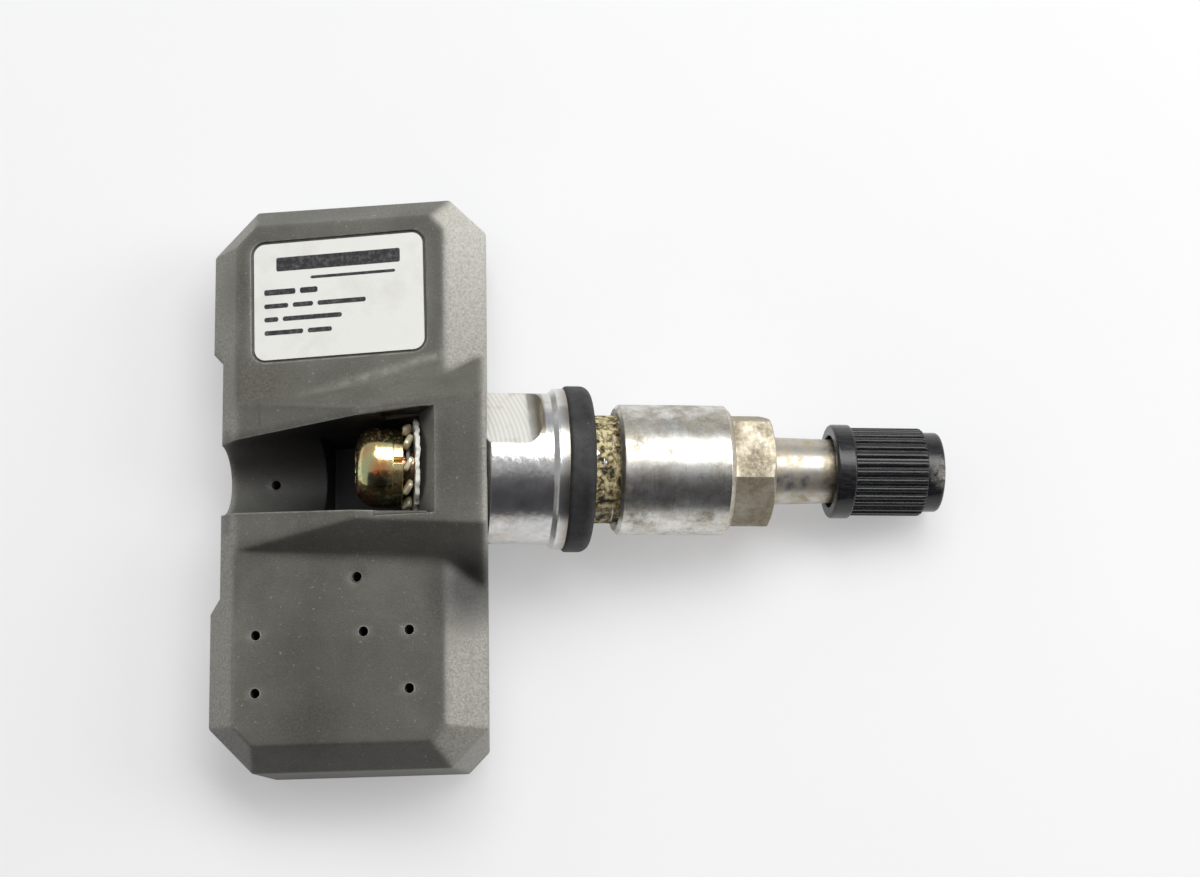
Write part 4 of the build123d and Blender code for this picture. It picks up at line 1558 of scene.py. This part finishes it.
@dataclass
class ValveCap:
    """Ribbed cap: lathe-turned body with a ring of rounded ribs.

    Args:
        shop: makes the pieces.
        plastic: the cap's finish.
        start: where the cap begins along the stem.
        end: where it ends.
        flange: radius of its collar.
        body: radius between the ribs.
        nose: radius of its end.
        bore: radius of its bore.
        roof: thickness of its closed end.
        steps: where its collar ends, its ribbed part begins and ends, and its nose begins.
        ribs: how many ribs.
        rib: first and last x of a rib, its root and top radius, and its width.
    """

    shop: Workshop
    plastic: Material
    start: float = 36.8
    end: float = 48.5
    flange: float = 4.95
    body: float = 4.32
    nose: float = 4.2
    bore: float = 3.8
    roof: float = 1.9
    steps: tuple[float, float, float, float] = (38.85, 38.95, 46.6, 46.62)
    ribs: int = 30
    rib: tuple[float, float, float, float, float] = (38.8, 46.65, 4.25, 4.65, 0.62)

    def _rib(self) -> BMesh:
        """One rib on the cap's upper side.

        Returns:
            The mesh.
        """
        low, high, root, top, width = self.rib
        half = [(0.5, 0.0), (0.5, 0.45), (0.36, 0.85), (0.14, 1.0)]
        section = [(-y, z) for y, z in half] + half[::-1]
        bm = bmesh.new()
        rows = []
        for x, share in ((low, 1.0), (high - 0.42, 1.0), (high - 0.12, 0.82), (high, 0.35)):
            rows.append([bm.verts.new((x, y * width, root + (top - root) * z * share)) for y, z in section])
        skin(bm, rows)
        bm.faces.new(rows[0])
        bm.faces.new(rows[-1])
        bmesh.ops.recalc_face_normals(bm, faces=bm.faces)
        return bm

    def build(self) -> None:
        """Makes the cap."""
        shop, floor = self.shop, self.end - self.roof
        flange_end, body_start, body_end, nose_start = self.steps
        outline = rounded([
            (self.start, self.flange, 0.35),
            (flange_end, self.flange, 0.22),
            (body_start, self.body, 0.0),
            (body_end, self.body, 0.0),
            (nose_start, self.nose, 0.0),
            (self.end, self.nose, 0.45),
            (self.end, 0.0, 0.0),
            (floor, 0.0, 0.0),
            (floor, self.bore, 0.0),
            (self.start, self.bore, 0.15),
        ])
        body = place("cap_turning", plain_mesh("cap_turning", lathe(outline, 120)))
        values = {"Count": self.ribs, "Phase": math.pi, "Finish": self.plastic}
        cap = shop.evaluate(body, shop.rings, self._rib(), **values)
        shop.finish("ribbed_cap", cap, Axis.STEM, self.plastic, Body.CAP, "valve_cap", ("valve_cap",), 40.0)


@dataclass
class ScrewStack:
    """Screw, washers and the ragged white backing ring in the pocket.

    Args:
        shop: makes the pieces.
        zinc: finish of the screw and its spring washer.
        dark_zinc: finish of the toothed washer.
        white: finish of the backing ring.
        teeth: how many teeth the toothed washer has.
        tooth_middle: x of the toothed washer's middle.
        tooth_radius: distance of the teeth from the axis.
        tooth_half: half sizes of a tooth.
        tooth_twist: its twist, in degrees.
        tooth_square: how square it is, from 0 for a box to 1 for a ball.
        disc: half thickness, bore and outer radius of the toothed washer's disc.
        backing: first and last x, bore and outer radius of the backing ring.
        ragged: height and scale of the waves of its edge.
        ragged_at: radius and height of the ring on which their noise is taken.
        swell: how far its edge is pushed out, and the most that a wave adds.
        warp: height and scale of its warp.
    """

    shop: Workshop
    zinc: Material
    dark_zinc: Material
    white: Material
    teeth: int = 10
    tooth_middle: float = -7.68
    tooth_radius: float = 3.95
    tooth_half: Point = (0.30, 0.80, 0.64)
    tooth_twist: float = -26.0
    tooth_square: float = 0.55
    disc: tuple[float, float, float] = (0.26, 2.2, 3.4)
    backing: tuple[float, float, float, float] = (-6.98, -6.52, 2.15, 4.72)
    ragged: tuple[tuple[float, float], ...] = ((0.30, 1.0), (0.22, 3.7))
    ragged_at: tuple[float, float] = (3.2, 1.3)
    swell: tuple[float, float] = (0.12, 0.2)
    warp: tuple[float, float] = (0.16, 2.3)

    def _tooth(self) -> BMesh:
        """One twisted tooth on the washer's upper side.

        Returns:
            The mesh.
        """
        bm = bmesh.new()
        bmesh.ops.create_uvsphere(bm, u_segments=16, v_segments=10, radius=1.0)
        twist = Matrix.Rotation(math.radians(self.tooth_twist), 3, "Z")
        middle = Vector((self.tooth_middle, 0.0, self.tooth_radius))
        for vertex in bm.verts:
            squared = [math.copysign(abs(c) ** self.tooth_square, c) for c in vertex.co]
            vertex.co = middle + twist @ Vector([c * half for c, half in zip(squared, self.tooth_half)])
        return bm

    def _toothed(self) -> None:
        """Makes the toothed washer."""
        half, bore, outer = self.disc
        low, high = self.tooth_middle - half, self.tooth_middle + half
        outline = rounded([(low, bore, 0.05), (high, bore, 0.05), (high, outer, 0.12), (low, outer, 0.12)])
        disc = place("tooth_disc", plain_mesh("tooth_disc", lathe(outline, 72)))
        values = {"Count": self.teeth, "Phase": 0.1, "Finish": self.dark_zinc}
        washer = self.shop.evaluate(disc, self.shop.rings, self._tooth(), **values)
        node = "toothed_washer"
        self.shop.finish("toothed_ring", washer, Axis.STEM, self.dark_zinc, Body.SENSOR, node, (node,), 40.0)

    def _backing(self) -> None:
        """Makes the ragged backing ring."""
        low, high, bore, radius = self.backing
        outline = rounded([(low, bore, 0.0), (high, bore, 0.0), (high, radius, 0.1), (low, radius, 0.1)])
        ring, level = self.ragged_at
        push, most = self.swell
        warp, warp_scale = self.warp
        bm = lathe(outline, 180)
        for vertex in bm.verts:
            across = off_axis(vertex)
            if across < (bore + radius) / 2:
                continue
            a = math.atan2(vertex.co.z, vertex.co.y)
            spot = Vector((math.cos(a) * ring, math.sin(a) * ring, level))
            waves = sum(tall * noise.noise(spot * scale) for tall, scale in self.ragged)
            widen(vertex, (across + push + min(most, waves)) / across)
            vertex.co.x += warp * noise.noise(spot * warp_scale + UP * 4.0)
        node = "backing_washer"
        self.shop.finish("white_ring", bm, Axis.STEM, self.white, Body.SENSOR, node, (node,), 50.0)

    def build(self) -> None:
        """Makes the screw and everything under its head."""
        for node in ("fixing_screw", "spring_washer"):
            self.shop.dress(node, Axis.STEM, self.zinc, Body.SENSOR, 35.0)
        self._toothed()
        self._backing()


@dataclass
class Housing:
    """Moulded case with its vents' rims, cover and label.

    Args:
        shop: makes the pieces.
        plastic: finish of the case.
        unworn: finish of the pocket's lips, without worn edges.
        cover: finish of the cover underneath.
        paper: finish of the label.
        ink: finish of the label's plain fields.
        vents: places of the vents on the flat roof.
        roof: height of the roof.
        rim: height above the roof, radius and rounding of the corners of a vent's rim.
        lips: outlines of the thin lips that straighten the pocket's edge.
        lip_heights: their lower and upper height.
        label: middle of the label and its height.
        label_turn: turn of the label, in degrees.
        bars: middle and size of the label's wide bars.
        rows: middle, height and lengths of the bars in each row.
        row_start: where the rows begin.
        row_gap: gap between two bars of a row.
        ink_height: thickness of the bars.
    """

    shop: Workshop
    plastic: Material
    unworn: Material
    cover: Material
    paper: Material
    ink: Material
    vents: tuple[tuple[float, float], ...] = (
        (-8.9, -16.15), (-8.9, -22.1), (7.3, -16.15), (7.3, -22.1), (1.8, -10.5), (2.5, -16.15),
    )
    roof: float = 11.45
    rim: tuple[Point, ...] = ((-0.3, 0.49, 0.0), (0.045, 0.51, 0.02), (0.045, 0.62, 0.04), (-0.3, 0.74, 0.0))
    lips: tuple[tuple[tuple[float, float], ...], ...] = (
        ((2.95, 5.50), (10.3, 6.16), (10.3, 6.3), (4.7, 6.3), (2.95, 6.0)),
        ((4.6, -4.95), (10.2, -4.95), (10.2, -4.74), (4.6, -4.46)),
    )
    lip_heights: tuple[float, float] = (15.2, 15.604)
    label: Point = (-0.3, 19.3, 11.4)
    label_turn: float = 1.1
    bars: tuple[tuple[float, float, float, float], ...] = ((0.0, 4.0, 13.4, 1.5), (1.6, 2.35, 9.2, 0.32))
    rows: tuple[tuple[float, float, tuple[float, ...]], ...] = (
        (1.0, 0.62, (3.4, 1.9)),
        (-0.5, 0.5, (2.6, 2.2, 5.2)),
        (-1.95, 0.5, (1.5, 6.4)),
        (-3.4, 0.5, (4.2, 2.6)),
    )
    row_start: float = -8.05
    row_gap: float = 0.5
    ink_height: float = 0.02

    def _rims(self) -> None:
        """Makes the thin rims of the vents."""
        shop = self.shop
        spots = [((x, y, self.roof), (1.0, 1.0, 1.0), (0.0, 0.0, x)) for x, y in self.vents]
        rim = lathe(rounded(list(self.rim), 3), 28)
        rim.transform(Matrix.Rotation(math.radians(-90), 4, "Y"))
        rims = shop.evaluate(shop.points(spots), shop.scatters, rim, Finish=self.plastic)
        shop.finish("vent_rims", rims, Axis.HOUSING, self.plastic, Body.SENSOR, "housing_case", (), 40.0)

    def _lips(self) -> None:
        """Makes the thin lips that straighten the pocket's edge."""
        bm = bmesh.new()
        for outline in self.lips:
            ends = [[bm.verts.new((x, y, height)) for x, y in outline] for height in self.lip_heights]
            for end in ends:
                bm.faces.new(end)
            skin(bm, ends)
        bmesh.ops.recalc_face_normals(bm, faces=bm.faces)
        self.shop.finish("pocket_lip", bm, Axis.HOUSING, self.unworn, Body.SENSOR, "housing_case", (), 20.0)

    def _fields(self) -> None:
        """Makes the label's plain printed fields."""
        bars = list(self.bars)
        for y, tall, lengths in self.rows:
            left = self.row_start
            for length in lengths:
                bars.append((left + length / 2, y, length, tall))
                left += length + self.row_gap
        bm = bmesh.new()
        for x, y, length, tall in bars:
            size = Vector((length, tall, self.ink_height))
            for vertex in bmesh.ops.create_cube(bm, size=1.0)["verts"]:
                vertex.co = Vector((x, y, 0.004)) + vertex.co * size
        corners = [edge for edge in bm.edges if abs(edge.verts[0].co.z - edge.verts[1].co.z) > 0.01]
        bmesh.ops.bevel(bm, geom=corners, offset=0.1, segments=3, affect="EDGES")
        bm.transform(Matrix.Translation(self.label) @ Matrix.Rotation(math.radians(self.label_turn), 4, "Z"))
        self.shop.finish("label_fields", bm, Axis.HOUSING, self.ink, Body.SENSOR, "label", (), 30.0)

    def build(self) -> None:
        """Makes the case, cover, label and vents."""
        pieces = (
            ("housing_case", self.plastic, 24.0),
            ("back_cover", self.cover, 24.0),
            ("label", self.paper, 30.0),
        )
        for node, material, angle in pieces:
            self.shop.dress(node, Axis.HOUSING, material, Body.SENSOR, angle)
        self._rims()
        self._lips()
        self._fields()


@dataclass
class Studio:
    """Pale table, soft light and the photograph's camera; places in metres unless said otherwise.

    Args:
        frames: the object's frames.
        eye: camera place in the housing's frame, in millimetres.
        right: image right in the housing's frame.
        up: image up in the housing's frame.
        lens: focal length of the camera, in millimetres.
        sensor: width of its picture, in millimetres.
        clip: nearest and farthest distance that it sees.
        whites: darkest and lightest colour of the table.
        table: half size of the table and its drop below the object.
        glow: share of the table's own light for camera and mirror rays.
        cards: name, place, size and colour of the cards that the metal mirrors.
        lamps: name, place, size and watts of the lamps.
        sky: colour of the surroundings' light.
        sky_strength: its strength.
    """

    frames: Frames
    eye: Point = (70.4, -51.4, 264.4)
    right: Point = (0.9851, -0.0162, -0.1714)
    up: Point = (0.0510, 0.9784, 0.2003)
    lens: float = 77.34
    sensor: float = 36.0
    clip: tuple[float, float] = (0.01, 10.0)
    whites: tuple[Colour, Colour] = ((0.84, 0.84, 0.845), (0.88, 0.88, 0.88))
    table: tuple[float, float] = (1.5, 0.00002)
    glow: float = 0.36
    cards: tuple[tuple[str, Point, tuple[float, float], Colour], ...] = (
        ("dark_card", (0.05, -0.45, 0.34), (1.6, 0.76), (0.055, 0.057, 0.064)),
        ("warm_card", (-0.12, -0.25, 0.54), (0.28, 0.13), (0.60, 0.20, 0.11)),
    )
    lamps: tuple[tuple[str, Point, tuple[float, float], float], ...] = (
        ("key_lamp", (0.20, 0.36, 0.70), (0.75, 0.40), 4.5),
        ("fill_lamp", (0.55, 0.10, 0.35), (0.30, 0.30), 1.4),
    )
    sky: Colour = (0.95, 0.97, 1.0)
    sky_strength: float = 0.46

    def _camera(self) -> None:
        """Sets the camera at the photograph's view."""
        data = bpy.data.cameras.new("camera")
        data.sensor_width, data.lens = self.sensor, self.lens
        data.clip_start, data.clip_end = self.clip
        camera = place("camera", data)
        turn = self.frames.housing.to_3x3().normalized()
        right = (turn @ Vector(self.right)).normalized()
        up = turn @ Vector(self.up)
        up = (up - right * up.dot(right)).normalized()
        view = Matrix((right, up, right.cross(up))).transposed().to_4x4()
        view.translation = self.frames.housing @ Vector(self.eye)
        camera.matrix_world = view
        bpy.context.scene.camera = camera

    def _table_white(self) -> Material:
        """White table that keeps the object's shadow and shows pale to camera and mirror rays.

        Returns:
            The material.
        """
        s = Shader("table_white")
        cloud = s.noise(s.local(Matrix.Scale(MM, 4)), 0.012, 3.0, 0.5)
        s.set(Base_Color=s.ramp(cloud, list(zip((0.3, 0.7), self.whites))), Roughness=0.6)
        seen: Value = 0.0
        for ray in ("Is Camera Ray", "Is Glossy Ray", "Is Transmission Ray"):
            seen = s.calc("MAXIMUM", seen, s.use("ShaderNodeLightPath", ray))
        shares = {0: s.times(seen, self.glow), 1: s.bsdf.outputs[0], 2: s.use("ShaderNodeEmission", 0)}
        s.join(s.use("ShaderNodeMixShader", 0, shares), s.tree.nodes["Material Output"].inputs["Surface"])
        return s.material

    def _sheet(self, name: str, steps: int, size: tuple[float, float], material: Material) -> Object:
        """Flat sheet that belongs to the studio.

        Args:
            name: its name.
            steps: its steps along each side.
            size: its length and width.
            material: its finish.

        Returns:
            The sheet.
        """
        bm = bmesh.new()
        bmesh.ops.create_grid(bm, x_segments=steps, y_segments=steps, size=0.5)
        bmesh.ops.scale(bm, vec=(*size, 1.0), verts=bm.verts)
        mesh = plain_mesh(name, bm)
        mesh.materials.append(material)
        return place(name, mesh)

    @staticmethod
    def _aim(made: Object, at: Point, front: str) -> None:
        """Places a card or lamp so that its front faces the object.

        Args:
            made: the card or lamp.
            at: its place.
            front: the axis that it faces along.
        """
        made.location = at
        made.rotation_mode = "QUATERNION"
        made.rotation_quaternion = (-Vector(at)).to_track_quat(front, "Y")

    def build(self) -> None:
        """Sets up world, table, cards, lamps and camera."""
        scene = bpy.context.scene
        scene.view_settings.view_transform = "Standard"
        world = bpy.data.worlds.new("studio")
        world.use_nodes = True
        light = world.node_tree.nodes["Background"].inputs
        light["Color"].default_value = (*self.sky, 1.0)
        light["Strength"].default_value = self.sky_strength
        scene.world = world
        half, drop = self.table
        floor = self._sheet("table_top", 8, (2 * half, 2 * half), self._table_white())
        floor.location.z = -drop
        floor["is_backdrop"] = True
        for name, at, size, tone in self.cards:
            tones = tuple(tuple(c * k for c in tone) for k in (0.9, 1.0, 1.1))
            cloth = Speckled(name + "_cloth", Matrix.Scale(MM, 4), tones, 0.05, (0.8, 0.9)).build()
            card = self._sheet(name, 1, size, cloth)
            self._aim(card, at, "Z")
            card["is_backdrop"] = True
        for name, at, size, watts in self.lamps:
            data = bpy.data.lights.new(name, "AREA")
            data.shape = "RECTANGLE"
            data.size, data.size_y = size
            data.energy = watts
            self._aim(place(name, data), at, "-Z")
        self._camera()
        log.info("studio ready")


def sealed_finishes(frames: Frames) -> dict[str, Material]:
    """Finishes of the pieces inside the housing, the stem and the cap.

    Args:
        frames: the object's frames.

    Returns:
        A material for each node.
    """
    mask = ((0.012, 0.07, 0.025), (0.018, 0.10, 0.035), (0.03, 0.13, 0.05))
    steel = ((0.50, 0.50, 0.50), (0.60, 0.60, 0.59), (0.68, 0.68, 0.66))
    epoxy = ((0.012, 0.012, 0.013), (0.02, 0.02, 0.021), (0.035, 0.035, 0.036))
    silicone = ((0.30, 0.29, 0.27), (0.36, 0.35, 0.33), (0.42, 0.41, 0.38))
    ferrite = ((0.03, 0.03, 0.03), (0.05, 0.048, 0.045), (0.07, 0.066, 0.06))
    copper = ((0.42, 0.15, 0.06), (0.55, 0.21, 0.09), (0.66, 0.28, 0.13))
    plated = ((0.58, 0.43, 0.19), (0.68, 0.52, 0.25), (0.75, 0.6, 0.32))
    ceramic = ((0.30, 0.21, 0.12), (0.38, 0.27, 0.16), (0.46, 0.34, 0.21))
    brass = ((0.55, 0.40, 0.16), (0.68, 0.52, 0.24), (0.78, 0.63, 0.33))
    red = ((0.30, 0.05, 0.03), (0.40, 0.08, 0.05), (0.48, 0.11, 0.07))
    house, stem = frames.housing, frames.stem
    groups = [
        (Speckled("board_mask", house, mask, 0.8, (0.3, 0.42)), ("circuit_board",)),
        (
            Speckled("cell_steel", house, steel, 0.9, (0.24, 0.38), 1.0),
            ("coin_cell", "negative_tab", "positive_tab", "crystal"),
        ),
        (Speckled("chip_epoxy", house, epoxy, 1.5, (0.4, 0.55)), ("sensor_chip", "radio_chip")),
        (Speckled("port_silicone", house, silicone, 1.0, (0.5, 0.62)), ("port_seal",)),
        (Speckled("ferrite", house, ferrite, 2.0, (0.5, 0.7)), ("wake_core",)),
        (Speckled("winding", house, copper, 2.0, (0.28, 0.4), 1.0), ("wake_coil",)),
        (Speckled("plated_strip", house, plated, 1.0, (0.25, 0.4), 1.0), ("antenna",)),
        (Speckled("capacitor_body", house, ceramic, 2.0, (0.45, 0.6)), ("capacitors",)),
        (Speckled("core_brass", stem, brass, 1.6, (0.22, 0.36), 1.0), ("core_plug", "core_barrel", "core_pin")),
        (Rubber("seal_rubber", stem), ("cap_seal", "core_poppet")),
        (Speckled("core_seal", stem, red, 1.5, (0.5, 0.65)), ("core_gasket",)),
    ]
    made = [(finish.build(), nodes) for finish, nodes in groups]
    return {node: material for material, nodes in made for node in nodes}


class SensorScene:
    """The whole dressed sensor and its studio."""

    def __init__(self) -> None:
        """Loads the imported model."""
        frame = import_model()
        self.cad_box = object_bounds()
        self.frames = Frames.from_record(frame["record"])
        self.shop = Workshop(frame["nodes"], self.frames)

    def _record_sizes(self) -> None:
        """Updates the view layer; no boxes are written."""
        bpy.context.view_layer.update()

    def _screw_stack(self) -> ScrewStack:
        """The screw and its washers with their finishes.

        Returns:
            The stack, not yet built.
        """
        stem = self.frames.stem
        # Painted reflections on the screw's dome: a warm glint and a dark spot.
        orange_reflection = ((-10.5, -0.9, 3.9), 1.5, (0.72, 0.27, 0.09))
        dark_reflection = ((-10.5, -2.3, 3.3), 1.5, (0.035, 0.028, 0.02))
        zinc = YellowZinc("yellow_zinc", stem, painted_reflections=(orange_reflection, dark_reflection)).build()
        tints = ((0.86, 0.78, 0.52), (0.78, 0.76, 0.52), (0.74, 0.60, 0.38))
        dark_zinc = YellowZinc("tooth_zinc", stem, *tints, dirty=0.4, metallic=0.45, shaded_core=3.5).build()
        chalk = ((0.84, 0.81, 0.71), (0.94, 0.92, 0.84), (0.97, 0.955, 0.89))
        white = Speckled("white_crust", stem, chalk, 1.1, (0.55, 0.75), 0.0, 0.05).build()
        return ScrewStack(self.shop, zinc, dark_zinc, white)

    def build(self) -> None:
        house, stem, shop = self.frames.housing, self.frames.stem, self.shop
        bright = StemAluminium("stem_aluminium", stem).build()
        nut_metal = TurnedAluminium("nut_aluminium", stem, stained=0.44).build()
        soil = ((0.016, 0.013, 0.009), (0.33, 0.26, 0.12), (0.72, 0.64, 0.36))
        crust = Speckled("crust", stem, soil, 1.4, (0.6, 0.85), 0.0, 0.08, 0.10).build()
        steel = ((0.48, 0.48, 0.47), (0.58, 0.58, 0.57), (0.68, 0.68, 0.66))
        wire = Speckled("spring_wire", stem, steel, 2.0, (0.22, 0.34), 1.0).build()
        Housing(
            shop,
            MouldedPlastic("case_plastic", house).build(),
            MouldedPlastic("lip_plastic", house, wear=0.0).build(),
            MouldedPlastic("cover_plastic", house, (0.05, 0.05, 0.048), (0.075, 0.075, 0.07)).build(),
            Paper("label_paper", house).build(),
            Ink("label_ink", house).build(),
        ).build()
        ValveStem(shop, bright, crust).build()
        ValveCap(shop, CapPlastic("cap_plastic", stem).build()).build()
        self._screw_stack().build()
        shop.dress("grommet", Axis.STEM, Rubber("grommet_rubber", stem).build(), Body.SENSOR, 35.0)
        shop.dress("collar_nut", Axis.STEM, nut_metal, Body.NUT, 26.0)
        ValveCore(shop, wire).build()
        for node, material in sealed_finishes(self.frames).items():
            shop.paint(node, material)
        Studio(self.frames).build()
        self._record_sizes()


def main() -> None:
    """Builds the scene."""
    SensorScene().build()


if __name__ == "__main__":
    main()
